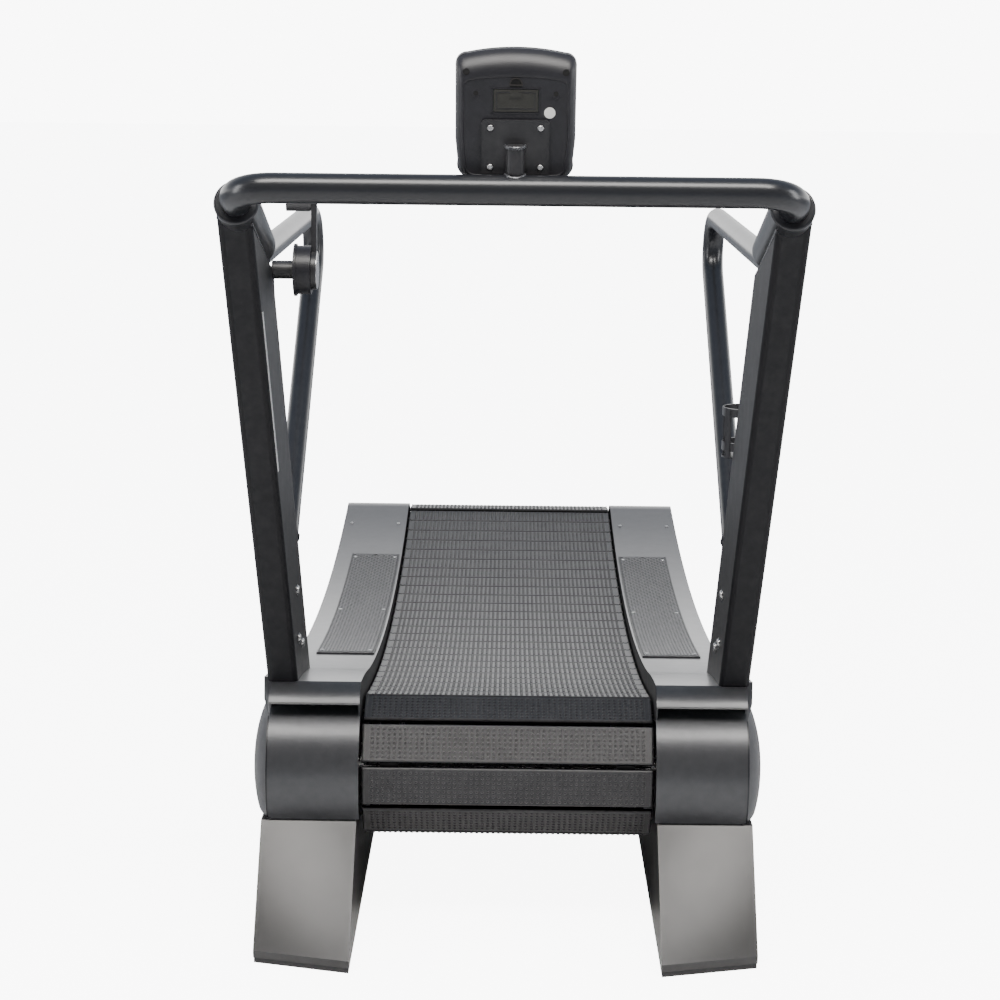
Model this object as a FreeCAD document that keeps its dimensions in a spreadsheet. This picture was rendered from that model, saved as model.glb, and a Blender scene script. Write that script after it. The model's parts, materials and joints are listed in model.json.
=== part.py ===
import FreeCAD, Part
import math
import os
import re

# Curved manual treadmill, millimetres.  +Z up, the console end at -Y, the runner steps on
# from +Y.  The origin is on the floor, under the middle of the whole object.

V = FreeCAD.Vector
doc = FreeCAD.newDocument("curved_treadmill")
sheet = doc.addObject("Spreadsheet::Sheet", "Sizes")

SIZES = [
    ("slat_length", 480, "length of a slat, across the deck"),
    ("slat_width", 64.5, "width of a slat along the deck"),
    ("slat_count", 60, "slats in the endless belt"),
    ("slat_plate", 4, "thickness of a slat's aluminium plate"),
    ("tread_thick", 4, "thickness of the rubber tread on a slat"),
    ("slat_phase", 42, "how far the belt has travelled from its start"),
    ("belt_thick", 8, "thickness of the drive belts"),
    ("belt_width", 30, "width of a drive belt"),
    ("belt_x", 195, "distance of a drive belt from the middle"),
    ("front_y", -611, "front axle, along the machine"),
    ("front_z", 262, "front axle, above the floor"),
    ("front_belt_radius", 108, "radius of the belt line round the front pulleys"),
    ("rear_y", 1101, "rear axle, along the machine"),
    ("rear_z", 272, "rear axle, above the floor"),
    ("rear_belt_radius", 96, "radius of the belt line round the rear pulleys"),
    ("deck_radius", 4700, "radius of the curved deck"),
    ("return_radius", 9000, "radius of the slack return run"),
    ("axle_radius", 12, "radius of both axles"),
    ("cover_inner_x", 243.6, "inner edge of the side covers"),
    ("cover_outer_x", 391, "outer edge of the side covers"),
    ("cover_rise_front", 30, "height of the side covers above the tread at the front"),
    ("cover_rise_rear", 5, "height of the side covers above the tread at the rear"),
    ("cover_wall", 2.5, "wall of the sheet covers"),
    ("cover_depth", 62, "depth of the outer lip of a side cover"),
    ("pad_thick", 3, "thickness of the foot grip pads"),
    ("rail_inner_x", 262, "inner face of a side rail"),
    ("rail_wide", 40, "width of a side rail"),
    ("rail_high", 80, "height of a side rail"),
    ("rail_top", 220, "top face of the side rails"),
    ("drum_radius", 136, "outer radius of the front drum covers"),
    ("boot_inner_x", 248, "inner face of the legs"),
    ("boot_outer_x", 405, "outer face of the legs"),
    ("boot_wall", 3, "wall of the legs"),
    ("foot_thick", 9, "thickness of the rubber feet"),
    ("upright_wide", 50, "width of an upright"),
    ("upright_deep", 210, "depth of an upright, level section"),
    ("upright_wall", 3, "wall of an upright"),
    ("upright_x", 373.5, "middle of an upright at its foot"),
    ("upright_foot_z", 360, "foot of an upright, before it is cut to the slope of its cover"),
    ("upright_top_z", 1215, "top of an upright, before its saddle is cut"),
    ("lean_y", 0.56, "forward lean of an upright, run per rise"),
    ("lean_x", 0.024, "outward lean of an upright, run per rise"),
    ("knuckle_x", 387, "middle of a knuckle"),
    ("knuckle_radius", 32, "outer radius of a knuckle"),
    ("knuckle_long", 235, "length of a knuckle"),
    ("knuckle_slope", 19, "slope of a knuckle, degrees"),
    ("knuckle_z", 1228, "front of a knuckle, above the floor"),
    ("handrail_radius", 19, "outer radius of a handrail"),
    ("crossbar_radius", 21, "outer radius of the crossbar"),
    ("tube_wall", 2.5, "wall of the round tubes"),
    ("flywheel_radius", 110, "radius of the flywheel"),
    ("flywheel_thick", 12, "thickness of the flywheel rim"),
    ("console_tilt", 12, "backward tilt of the console, degrees"),
    ("console_wide", 164, "width of the console"),
    ("console_high", 168, "height of the console"),
    ("console_back_deep", 24, "depth of the console's back shell"),
    ("console_front_deep", 14, "depth of the console's front shell"),
    ("shell_wall", 2.4, "wall of the console shells"),
    ("lever_y", -225, "lever pivot, behind the front axle"),
    ("lever_z", 1110, "lever pivot, above the floor"),
    ("lever_reach", 102, "lever pivot to the middle of its grip"),
]
for row, (alias, number, meaning) in enumerate(SIZES, start=1):
    sheet.set("A%d" % row, meaning)
    sheet.set("B%d" % row, str(number))
    sheet.setAlias("B%d" % row, alias)
doc.recompute()
size = {alias: float(sheet.get(alias)) for alias, number, meaning in SIZES}
ALIASES = re.compile(r"\b(%s)\b" % "|".join(alias for alias, number, meaning in SIZES))

nodes = []          # the finished sub-parts, in the order they are made


def formula(text):
    """An expression over the sheet, from plain alias names."""
    return ALIASES.sub(r"Sizes.\1", str(text))


def named(obj, label):
    obj.Label = label
    nodes.append(obj)
    return obj


def bind(obj, **formulas):
    for prop, text in formulas.items():
        obj.setExpression(prop.replace("__", "."), formula(text))


def place(obj, at):
    for axis, text in zip("xyz", at):
        obj.setExpression(".Placement.Base." + axis, formula(text))


def box(name, lengths, at):
    obj = doc.addObject("Part::Box", name)
    bind(obj, Length=lengths[0], Width=lengths[1], Height=lengths[2])
    place(obj, at)
    return obj


def rod(name, radius, length, at, along="X"):
    obj = doc.addObject("Part::Cylinder", name)
    bind(obj, Radius=radius, Height=length)
    turn = {"X": (V(0, 1, 0), 90), "Y": (V(1, 0, 0), -90), "Z": (V(0, 0, 1), 0)}[along]
    obj.Placement = FreeCAD.Placement(V(), FreeCAD.Rotation(*turn))
    place(obj, at)
    return obj


def cut(name, base, *tools):
    for count, tool in enumerate(tools):
        obj = doc.addObject("Part::Cut", "%s_%d" % (name, count))
        obj.Base = base
        obj.Tool = tool
        base = obj
    return base


def group(name, parts, join="Part::Compound"):
    obj = doc.addObject(join, name)
    if join == "Part::Compound":
        obj.Links = parts
    else:
        obj.Shapes = parts
    return obj


def feature(name, shape):
    obj = doc.addObject("Part::Feature", name)
    obj.Shape = shape
    return obj


def side_x(side, inner, outer):
    """Lowest X of something between two distances from the middle, on one side."""
    return inner if side > 0 else "-(%s)" % outer


def arc_mid(centre, radius, first, last):
    """The middle point of an arc, from its end directions in radians."""
    half = (first + last) / 2
    return centre[0] + radius * math.cos(half), centre[1] + radius * math.sin(half)


def draw(sketch, outline):
    """Closed outline of (y, z) corners; ("arc", middle, end) bows to its end."""
    last = outline[0]
    for step in outline[1:] + [outline[0]]:
        if step[0] == "arc":
            three = [V(p[0], p[1], 0) for p in (last, step[1], step[2])]
            sketch.addGeometry(Part.Arc(*three), False)
            last = step[2]
        elif math.dist(last, step) > 1e-6:
            sketch.addGeometry(Part.LineSegment(V(last[0], last[1], 0), V(step[0], step[1], 0)), False)
            last = step


def plane(body, role):
    return next(item for item in body.Origin.OriginFeatures if item.Role == role)


def plate(name, outlines, x_start, thick):
    """A sheet or block with a side-view outline, as a padded sketch."""
    body = doc.addObject("PartDesign::Body", name)
    sketch = body.newObject("Sketcher::SketchObject", name + "_outline")
    sketch.AttachmentSupport = [(plane(body, "YZ_Plane"), "")]
    sketch.MapMode = "FlatFace"
    for outline in outlines:
        draw(sketch, outline)
    pad = body.newObject("PartDesign::Pad", name + "_pad")
    pad.Profile = sketch
    bind(pad, Length=thick)
    body.setExpression(".Placement.Base.x", formula(x_start))
    return body


# ---------------------------------------------------------------- belt line
# Four tangent arcs: the hollow deck, the rear pulleys, the slack return run and the
# front pulleys.  The belt line is the underside of the slats.
front = (size["front_y"], size["front_z"])
rear = (size["rear_y"], size["rear_z"])
front_r = size["front_belt_radius"]
rear_r = size["rear_belt_radius"]
deck_r = size["deck_radius"]
return_r = size["return_radius"]


def centre_above(reach_front, reach_rear):
    """The point above the machine at given distances from the two axles."""
    gap = math.dist(front, rear)
    along = (reach_front ** 2 - reach_rear ** 2 + gap ** 2) / (2 * gap)
    up = math.sqrt(reach_front ** 2 - along ** 2)
    unit = ((rear[0] - front[0]) / gap, (rear[1] - front[1]) / gap)
    return (front[0] + along * unit[0] - up * unit[1], front[1] + along * unit[1] + up * unit[0])


def heading(start, end):
    return math.atan2(end[1] - start[1], end[0] - start[0])


deck_c = centre_above(deck_r + front_r, deck_r + rear_r)
return_c = centre_above(return_r - front_r, return_r - rear_r)
deck_from = heading(deck_c, front)
deck_to = heading(deck_c, rear)
rear_from = heading(rear, deck_c)
rear_to = heading(return_c, rear)
front_from = heading(return_c, front) + 2 * math.pi
front_to = heading(front, deck_c)
ARCS = [
    (deck_c, deck_r, deck_from, deck_to),
    (rear, rear_r, rear_from, rear_to),
    (return_c, return_r, rear_to, front_from - 2 * math.pi),
    (front, front_r, front_from, front_to),
]
loop_length = sum(radius * abs(last - first) for centre, radius, first, last in ARCS)
pitch = loop_length / size["slat_count"]


def on_arc(centre, radius, angle):
    return centre[0] + radius * math.cos(angle), centre[1] + radius * math.sin(angle)


def on_belt(distance):
    """Run number, place and direction of travel at a distance round the belt line."""
    distance %= loop_length
    for run, (centre, radius, first, last) in enumerate(ARCS):
        length = radius * abs(last - first)
        if distance <= length:
            turn = 1 if last > first else -1
            angle = first + turn * distance / radius
            return run, on_arc(centre, radius, angle), angle + turn * math.pi / 2
        distance -= length
    return 0, on_arc(deck_c, deck_r, deck_from), deck_from + math.pi / 2


def belt_loop(inset):
    """The closed belt line moved towards the inside of the loop."""
    edges = []
    for centre, radius, first, last in ARCS:
        reach = radius + inset if centre is deck_c else radius - inset
        ends = [on_arc(centre, reach, angle) for angle in (first, (first + last) / 2, last)]
        edges.append(Part.Arc(*[V(0, y, z) for y, z in ends]).toShape())
    return Part.Wire(edges)


# ---------------------------------------------------------------- slats and treads
def slat_shape():
    """A T-section slat, lying flat at the origin, its underside at z = 0."""
    half = size["slat_length"] / 2
    wide = size["slat_width"]
    top = Part.makeBox(2 * half, wide, size["slat_plate"], V(-half, -wide / 2, 0))
    rib_half = size["belt_x"] - size["belt_width"] / 2 - 8
    rib = Part.makeBox(2 * rib_half, 6, 16, V(-rib_half, -3, -16))
    return top.fuse(rib).removeSplitter()


def tread_shape():
    """The moulded rubber tread of a slat, with its long edges bevelled."""
    half = size["slat_length"] / 2 - 2
    wide = size["slat_width"] - 1
    tall = size["tread_thick"]
    pad = Part.makeBox(2 * half, wide, tall, V(-half, -wide / 2, size["slat_plate"]))
    crest = size["slat_plate"] + tall - 0.1
    upper = [edge for edge in pad.Edges if edge.BoundBox.ZMin > crest]
    return pad.makeChamfer(1.4, upper)


def set_on_belt(shape, index):
    run, (y, z), angle = on_belt((index + 0.5) * pitch + size["slat_phase"])
    turn = FreeCAD.Rotation(V(1, 0, 0), math.degrees(angle))
    moved = shape.copy()
    moved.Placement = FreeCAD.Placement(V(0, y, z), turn)
    return run, moved


runs = {0: [], 1: [], 2: [], 3: []}
treads = []
for index in range(int(size["slat_count"])):
    run, slat = set_on_belt(slat_shape(), index)
    runs[run].append(slat)
    treads.append(set_on_belt(tread_shape(), index)[1])
for run, label in enumerate(("slats_deck", "slats_rear_turn", "slats_return", "slats_front_turn")):
    named(feature(label, Part.makeCompound(runs[run])), label)
named(feature("slat_treads", Part.makeCompound(treads)), "slat_treads")

belt_outer = Part.Face(belt_loop(0.3)).extrude(V(size["belt_width"], 0, 0))
belt_hollow = Part.Face(belt_loop(size["belt_thick"])).extrude(V(size["belt_width"], 0, 0))
belt_pair = []
for side in (-1, 1):
    belt_solid = belt_outer.cut(belt_hollow)
    belt_solid.translate(V(side * size["belt_x"] - size["belt_width"] / 2, 0, 0))
    belt_pair.append(belt_solid)
named(feature("drive_belts", Part.makeCompound(belt_pair)), "drive_belts")


# ---------------------------------------------------------------- rollers
def roller(end, belt_radius):
    """Axle and two pulleys at one end of the deck."""
    at_y = end + "_y"
    at_z = end + "_z"
    reach = 318 if end == "rear" else 352
    axle = rod(end + "_axle", "axle_radius", reach + 318, (-reach, at_y, at_z))
    named(axle, end + "_axle")
    pulleys = []
    for side in (-1, 1):
        name = "%s_pulley_%s" % (end, "left" if side < 0 else "right")
        start = "%d * belt_x - belt_width / 2 - 3" % side
        wheel = rod(name + "_wheel", belt_radius + " - belt_thick - 0.4", "belt_width + 6", (start, at_y, at_z))
        bore = rod(name + "_bore", "axle_radius", 60, ("%d * belt_x - 30" % side, at_y, at_z))
        lighten = []
        for step in range(6):
            angle = math.radians(60 * step)
            spot_y = "%s + %.3f * (%s)" % (at_y, math.cos(angle), belt_radius + " * 0.54")
            spot_z = "%s + %.3f * (%s)" % (at_z, math.sin(angle), belt_radius + " * 0.54")
            lighten.append(rod("%s_hole_%d" % (name, step), 16, 60, ("%d * belt_x - 30" % side, spot_y, spot_z)))
        pulleys.append(cut(name, wheel, bore, *lighten))
    named(group(end + "_pulleys", pulleys), end + "_pulleys")


roller("front", "front_belt_radius")
roller("rear", "rear_belt_radius")

wheel_x = "-340"
rim = rod("flywheel_rim", "flywheel_radius", "flywheel_thick", (wheel_x, "front_y", "front_z"))
recess = rod("flywheel_recess", "flywheel_radius - 34", 4, ("-341", "front_y", "front_z"))
boss = rod("flywheel_boss", 30, 24, ("-346", "front_y", "front_z"))
wheel = doc.addObject("Part::Fuse", "flywheel_body")
wheel.Base = cut("flywheel_disc", rim, recess)
wheel.Tool = boss
axle_hole = rod("flywheel_hole", "axle_radius", 60, ("-360", "front_y", "front_z"))
named(cut("flywheel", wheel, axle_hole), "flywheel")


# ---------------------------------------------------------------- base frame
def square_tube(name, lengths, at, wall, along):
    """A rectangular tube, open at both ends along one axis."""
    outer = box(name + "_outer", lengths, at)
    inside = ["%s - 2 * %s" % (item, wall) for item in lengths]
    corner = ["%s + %s" % (item, wall) for item in at]
    inside[along] = "%s + 20" % lengths[along]
    corner[along] = "%s - 10" % at[along]
    return cut(name, outer, box(name + "_bore", inside, corner))


for side, word in ((-1, "left"), (1, "right")):
    start = side_x(side, "rail_inner_x", "rail_inner_x + rail_wide")
    tube = square_tube(
        "side_rail_" + word,
        ("rail_wide", "rear_y - front_y + 170", "rail_high"),
        (start, "front_y - 70", "rail_top - rail_high"), "3", 1)
    named(tube, "side_rail_" + word)

crossings = []
for count, share in enumerate((0.22, 0.5, 0.8)):
    crossings.append(square_tube(
        "cross_member_%d" % count,
        ("2 * rail_inner_x", "60", "40"),
        ("-rail_inner_x", "front_y + %.2f * (rear_y - front_y) - 30" % share, "rail_top - 40"), "3", 0))
named(group("cross_members", crossings), "cross_members")

# The two curved support rails lie under the ends of the slats and stand on the cross members.
support = []
for side in (-1, 1):
    under = deck_r + 6
    inset_angle = 70 / deck_r
    first = deck_from + inset_angle
    last = deck_to - inset_angle
    start = on_arc(deck_c, under, first)
    end = on_arc(deck_c, under, last)
    middle = arc_mid(deck_c, under, first, last)
    outline = [start, ("arc", middle, end), (end[0], size["rail_top"]), (start[0], size["rail_top"])]
    start_x = side_x(side, 234, 239)
    support.append(plate("support_rail_%d" % (side + 1), [outline], start_x, 5))
named(group("support_rails", support), "support_rails")

bearings = []
bearing_radius = 17
bearing_step = 78
bearing_count = int((deck_r * (deck_to - deck_from) - 240) / bearing_step)
for side in (-1, 1):
    for index in range(bearing_count):
        angle = deck_from + (120 + index * bearing_step) / deck_r
        y, z = on_arc(deck_c, deck_r + bearing_radius + 0.5, angle)
        ring = Part.makeCylinder(bearing_radius, 12, V(0, y, z), V(side, 0, 0))
        ring.translate(V(side * 220, 0, 0))
        stub = Part.makeCylinder(5, 15, V(side * 219, y, z), V(side, 0, 0))
        bearings.append(ring.fuse(stub).removeSplitter())
named(feature("guide_bearings", Part.makeCompound(bearings)), "guide_bearings")

blocks = []
for end in ("front", "rear"):
    for side, word in ((-1, "left"), (1, "right")):
        name = "bearing_block_%s_%s" % (end, word)
        start = side_x(side, "rail_inner_x + 4", "rail_inner_x + rail_wide - 4")
        base = box(name + "_base", ("rail_wide - 8", 130, 14), (start, end + "_y - 65", "rail_top"))
        hub = rod(name + "_hub", 34, "rail_wide - 8", (start, end + "_y", end + "_z"))
        leg = box(name + "_leg", ("rail_wide - 8", 50, end + "_z - rail_top"), (start, end + "_y - 25", "rail_top"))
        body = group(name + "_body", [base, hub, leg], "Part::MultiFuse")
        hole = rod(name + "_hole", "axle_radius + 0.05", 100, (side_x(side, 230, 330), end + "_y", end + "_z"))
        blocks.append(cut(name, body, hole))
named(group("bearing_blocks", blocks), "bearing_blocks")


# ---------------------------------------------------------------- legs and feet
def loft_block(inner_x, inner_outline, outer_x, outer_outline):
    wires = []
    for x, outline in ((inner_x, inner_outline), (outer_x, outer_outline)):
        wires.append(Part.makePolygon([V(x, y, z) for y, z in outline + outline[:1]]))
    return Part.makeLoft(wires, True, True)


def leg_outline(tip, foot_back, wall, floor):
    """Side view of a front leg: sloping toe, flat sole, raked heel."""
    fy = size["front_y"]
    return [
        (fy - 118 + wall, 196),
        (fy - tip + wall * 1.3, 22),
        (fy - tip + 3 + wall * 1.3, floor),
        (fy + foot_back - wall * 1.3, floor),
        (fy + foot_back + 70 - wall * 1.3, 80),
        (fy + foot_back + 82 - wall * 1.3, 136),
        (fy + 140 - wall, 136),
        (fy + 128 - wall, 196),
    ]


def rear_outline(foot_front, wall, floor):
    """Side view of a rear leg."""
    ry = size["rear_y"]
    return [
        (ry - foot_front + wall * 1.3, floor),
        (ry + 118 - wall, floor),
        (ry + 124 - wall, 100),
        (ry + 124 - wall, 138),
        (ry - foot_front - 90 + wall * 1.3, 138),
        (ry - foot_front - 70 + wall * 1.3, 80),
    ]


wall = size["boot_wall"]
inner_x = size["boot_inner_x"]
outer_x = size["boot_outer_x"]
foot = size["foot_thick"]
rear_outer = size["cover_outer_x"] + 4
feet = []
for side, word in ((-1, "left"), (1, "right")):
    skin = loft_block(
        side * inner_x, leg_outline(294, 430, 0, foot),
        side * outer_x, leg_outline(252, 430, 0, foot))
    hollow = loft_block(
        side * (inner_x + wall), leg_outline(293, 430, wall, foot - 5),
        side * (outer_x - wall), leg_outline(253, 430, wall, foot - 5))
    low_x = min(side * (inner_x + wall), side * (outer_x - wall))
    tops = Part.makeBox(outer_x - inner_x - 2 * wall, 312, 80, V(low_x, size["front_y"] - 112, 133))
    leg = skin.cut(hollow).cut(tops)
    rail_room = Part.makeBox(size["rail_wide"] + 1, 2400, size["rail_high"] + 1)
    rail_low_x = min(side * size["rail_inner_x"], side * (size["rail_inner_x"] + size["rail_wide"]))
    rail_low_z = size["rail_top"] - size["rail_high"]
    rail_room.translate(V(rail_low_x - 0.5, size["front_y"] - 75, rail_low_z - 0.5))
    named(feature("front_leg_" + word, leg.cut(rail_room)), "front_leg_" + word)
    skin = loft_block(side * inner_x, rear_outline(300, 0, foot), side * rear_outer, rear_outline(300, 0, foot))
    hollow = loft_block(
        side * (inner_x + wall), rear_outline(300, wall, foot - 5),
        side * (rear_outer - wall), rear_outline(300, wall, foot - 5))
    named(feature("rear_leg_" + word, skin.cut(hollow).cut(rail_room)), "rear_leg_" + word)
    sole = Part.makePolygon([V(side * (inner_x + 1), size["front_y"] - 289, 0),
                             V(side * (outer_x - 1), size["front_y"] - 247, 0),
                             V(side * (outer_x - 1), size["front_y"] + 428, 0),
                             V(side * (inner_x + 1), size["front_y"] + 428, 0),
                             V(side * (inner_x + 1), size["front_y"] - 289, 0)])
    feet.append(Part.Face(sole).extrude(V(0, 0, foot)))
    low_x = min(side * (inner_x + 1), side * (rear_outer - 1))
    feet.append(Part.makeBox(rear_outer - inner_x - 2, 414, foot, V(low_x, size["rear_y"] - 298, 0)))
named(feature("rubber_feet", Part.makeCompound(feet)), "rubber_feet")


# ---------------------------------------------------------------- place of the uprights
def upright_line(z):
    """Front face of an upright at a height."""
    return size["front_y"] - 77 - size["lean_y"] * (z - 439)


def leaning_tube(side, wide, deep, from_z, to_z, radius):
    """A rounded rectangular bar that leans like the uprights."""
    middle_y = upright_line(from_z) + size["upright_deep"] / 2
    middle_x = side * (size["upright_x"] + size["lean_x"] * (from_z - 439))
    bar = Part.makeBox(wide, deep, 10, V(middle_x - wide / 2, middle_y - deep / 2, from_z))
    corners = [edge for edge in bar.Edges if edge.BoundBox.ZLength > 1]
    face = next(face for face in bar.makeFillet(radius, corners).Faces if face.BoundBox.ZMax < from_z + 0.1)
    rise = to_z - from_z
    return face.extrude(V(side * size["lean_x"] * rise, -size["lean_y"] * rise, rise))


def upright_way(side):
    """The room that an upright needs through the covers round its foot."""
    return leaning_tube(side, size["upright_wide"] + 0.6, size["upright_deep"] + 0.6, 372, 470, 9)


# ---------------------------------------------------------------- side covers
# Their skin is an arc about its own centre, so they stand higher at the front.
half_turn = (deck_to - deck_from) / 2
rise_change = size["cover_rise_front"] - size["cover_rise_rear"]
rise_middle = (size["cover_rise_front"] + size["cover_rise_rear"]) / 2
skin_r = deck_r - size["slat_plate"] - size["tread_thick"] - rise_middle
cover_c = (deck_c[0] + rise_change / 2 / math.sin(half_turn), deck_c[1])


def cover_angle(y):
    """Direction from the centre of the covers' arc to their skin at a place along it."""
    return -math.pi / 2 + math.asin((y - cover_c[0]) / skin_r)


cover_from = cover_angle(size["front_y"] + 150)
cover_to = cover_angle(size["rear_y"] - 20)
pad_from = cover_angle(size["front_y"] + 375)
pad_to = cover_angle(size["front_y"] + 1334)


def band(outer_radius, inner_radius, first, last):
    """A strip that follows the covers, between two radii."""
    one = on_arc(cover_c, outer_radius, first)
    two = on_arc(cover_c, outer_radius, last)
    three = on_arc(cover_c, inner_radius, last)
    four = on_arc(cover_c, inner_radius, first)
    return [one, ("arc", arc_mid(cover_c, outer_radius, first, last), two), three,
            ("arc", arc_mid(cover_c, inner_radius, first, last), four)]


def cover_outline(inset, depth, first, last):
    """A side cover seen from the side: it follows the deck and turns down at the rear."""
    ry = size["rear_y"]
    radius = skin_r + inset
    one = on_arc(cover_c, radius, first)
    two = on_arc(cover_c, radius, last)
    turn_r = 118 - inset
    turn_c = (ry + 1, on_arc(cover_c, skin_r, last)[1] - 116)
    back_bow = on_arc(turn_c, turn_r, math.radians(50))
    back = on_arc(turn_c, turn_r, 0)
    front_wall_y = ry + 20
    foot_z = 140
    if inset:
        # The space inside is open to the front and below.
        front_wall_y -= 60
        foot_z -= 1
    three = on_arc(cover_c, skin_r + depth, last)
    four = on_arc(cover_c, skin_r + depth, first)
    return [one, ("arc", arc_mid(cover_c, radius, first, last), two), ("arc", back_bow, back),
            (back[0], foot_z), (front_wall_y, foot_z),
            (front_wall_y, three[1] - 30), three,
            ("arc", arc_mid(cover_c, skin_r + depth, first, last), four)]


for side, word in ((-1, "left"), (1, "right")):
    wide = "cover_outer_x - cover_inner_x"
    start = side_x(side, "cover_inner_x", "cover_outer_x")
    depth = size["cover_depth"]
    slab = plate("top_cover_%s_slab" % word, [cover_outline(0, depth, cover_from, cover_to)], start, wide)
    room = plate(
        "top_cover_%s_room" % word,
        [cover_outline(size["cover_wall"], depth + 40, cover_from - 0.01, cover_to)],
        side_x(side, "cover_inner_x + cover_wall", "cover_outer_x - cover_wall"), wide + " - 2 * cover_wall")
    inner_lip = plate(
        "top_cover_%s_lip" % word, [band(skin_r + 34, skin_r + 130, cover_from - 0.01, cover_to - 0.02)],
        side_x(side, "cover_inner_x - 1", "cover_outer_x - 5"), wide + " - 4")
    way = feature("top_cover_%s_way" % word, upright_way(side))
    named(cut("top_cover_" + word, slab, room, inner_lip, way), "top_cover_" + word)
    grip = plate(
        "grip_pad_" + word,
        [band(skin_r - size["pad_thick"], skin_r, pad_from, pad_to)],
        side_x(side, 248, 355), 107)
    named(grip, "grip_pad_" + word)

# Flat outer panels behind the legs' outer faces, from the side covers down to an arch.
for side, word in ((-1, "left"), (1, "right")):
    top_r = skin_r + size["cover_wall"] + 1
    first = cover_angle(size["front_y"] + 182)
    last = cover_angle(size["rear_y"] - 18)
    start = on_arc(cover_c, top_r, first)
    end = on_arc(cover_c, top_r, last)
    outline = [start, ("arc", arc_mid(cover_c, top_r, first, last), end),
               (size["rear_y"] + 4, end[1]), (size["rear_y"] + 4, 145), (size["rear_y"] - 380, 145),
               ("arc", ((size["rear_y"] + size["front_y"]) / 2 + 60, 176), (size["front_y"] + 520, 145)),
               (size["front_y"] + 132, 145), (start[0], 205)]
    start_x = side_x(side, "cover_outer_x - 6", "cover_outer_x - 3")
    named(plate("side_panel_" + word, [outline], start_x, 3), "side_panel_" + word)


# ---------------------------------------------------------------- front drum covers
# A rolled sheet closes the front of each drum.  A lid with a rounded front lip lies over
# it, carries on the slope of the side cover, and lets the upright through.
lid_end = on_arc(cover_c, skin_r, cover_angle(size["front_y"] + 149.5))
lid_crest = (size["front_y"] - 62, size["front_z"] + 155.5)
lid_slope = (lid_end[1] - lid_crest[1]) / (lid_end[0] - lid_crest[0])


def lid_line(y):
    """Height of the lid's straight chord."""
    return lid_crest[1] + lid_slope * (y - lid_crest[0])


def lid_outline(thin):
    """The lid seen from the side, or the line a sheet's thickness under it."""
    fy, fz = front
    nose = (fy - 100 + thin * 0.84, fz + 128 - thin * 0.54)
    nose_bow = (fy - 83.7 + thin * 0.59, fz + 145.5 - thin * 0.81)
    crest = (lid_crest[0] + thin * 0.2, lid_crest[1] - thin * 0.98)
    bow = (fy + 45, lid_line(fy + 45) + 3 - thin)
    return [nose, ("arc", nose_bow, crest), ("arc", bow, (lid_end[0], lid_end[1] - thin))]


def reverse(outline):
    """The same open outline, walked from its other end."""
    ends = [step[2] if step[0] == "arc" else step for step in outline]
    back = [ends[-1]]
    for index in range(len(outline) - 1, 0, -1):
        step = outline[index]
        back.append(("arc", step[1], ends[index - 1]) if step[0] == "arc" else ends[index - 1])
    return back


def cuff_block(side, grow):
    """The cuff that bulges out round the outer side of an upright's foot."""
    fy = size["front_y"]
    return loft_block(
        side * 391.3, [(fy - 84 - grow, 350 - grow), (fy - 62 - grow, 424), (fy + 149, 391),
                       (fy + 147, 335 - grow)],
        side * (404 + grow), [(fy - 64 - grow, 388 - grow), (fy - 60 - grow, 424), (fy + 149, 391),
                              (fy + 143, 356 - grow)])


low_angle = math.radians(207.5)
top_angle = math.radians(112)
drum_r = size["drum_radius"]
for side, word in ((-1, "left"), (1, "right")):
    thin = size["cover_wall"]
    name = "drum_cover_" + word
    start = side_x(side, "cover_inner_x", "cover_outer_x + 2")
    wide = "cover_outer_x + 2 - cover_inner_x"
    low = on_arc(front, drum_r, low_angle)
    top = on_arc(front, drum_r, top_angle)
    low_inside = on_arc(front, drum_r - thin, low_angle)
    top_inside = on_arc(front, drum_r - thin, top_angle)
    rolled = [low, ("arc", arc_mid(front, drum_r, low_angle, top_angle), top), top_inside,
              ("arc", arc_mid(front, drum_r - thin, low_angle, top_angle), low_inside)]
    sheet_front = plate(name + "_front", [rolled], start, wide)
    lid = plate(name + "_lid", [lid_outline(0) + reverse(lid_outline(thin))], start, wide)
    back_y = size["front_y"] + 120
    lid_side = lid_outline(0)
    cheek_outline = lid_side + [
        (lid_end[0] - 14, lid_end[1] - 64), (back_y, 205), (size["front_y"] + 60, 200), (low[0] + 4, 200),
        low, ("arc", arc_mid(front, drum_r, low_angle, top_angle), top)]
    cheek_x = side_x(side, "cover_outer_x - 0.5", "cover_outer_x + 2")
    cheek = plate(name + "_cheek", [cheek_outline], cheek_x, thin)
    inner_outline = lid_side + [
        (lid_end[0] - 10, 340), (size["front_y"] + 60, 330), (size["front_y"] - 85, 362)]
    inner_x = side_x(side, "cover_inner_x", "cover_inner_x + 2.5")
    inner = plate(name + "_inner", [inner_outline], inner_x, thin)
    cuff = feature(name + "_cuff", cuff_block(side, 0))
    joined = group(name + "_joined", [sheet_front, lid, cheek, inner, cuff], "Part::MultiFuse")
    way = feature(name + "_way", upright_way(side))
    named(cut(name, joined, way), name)

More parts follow.
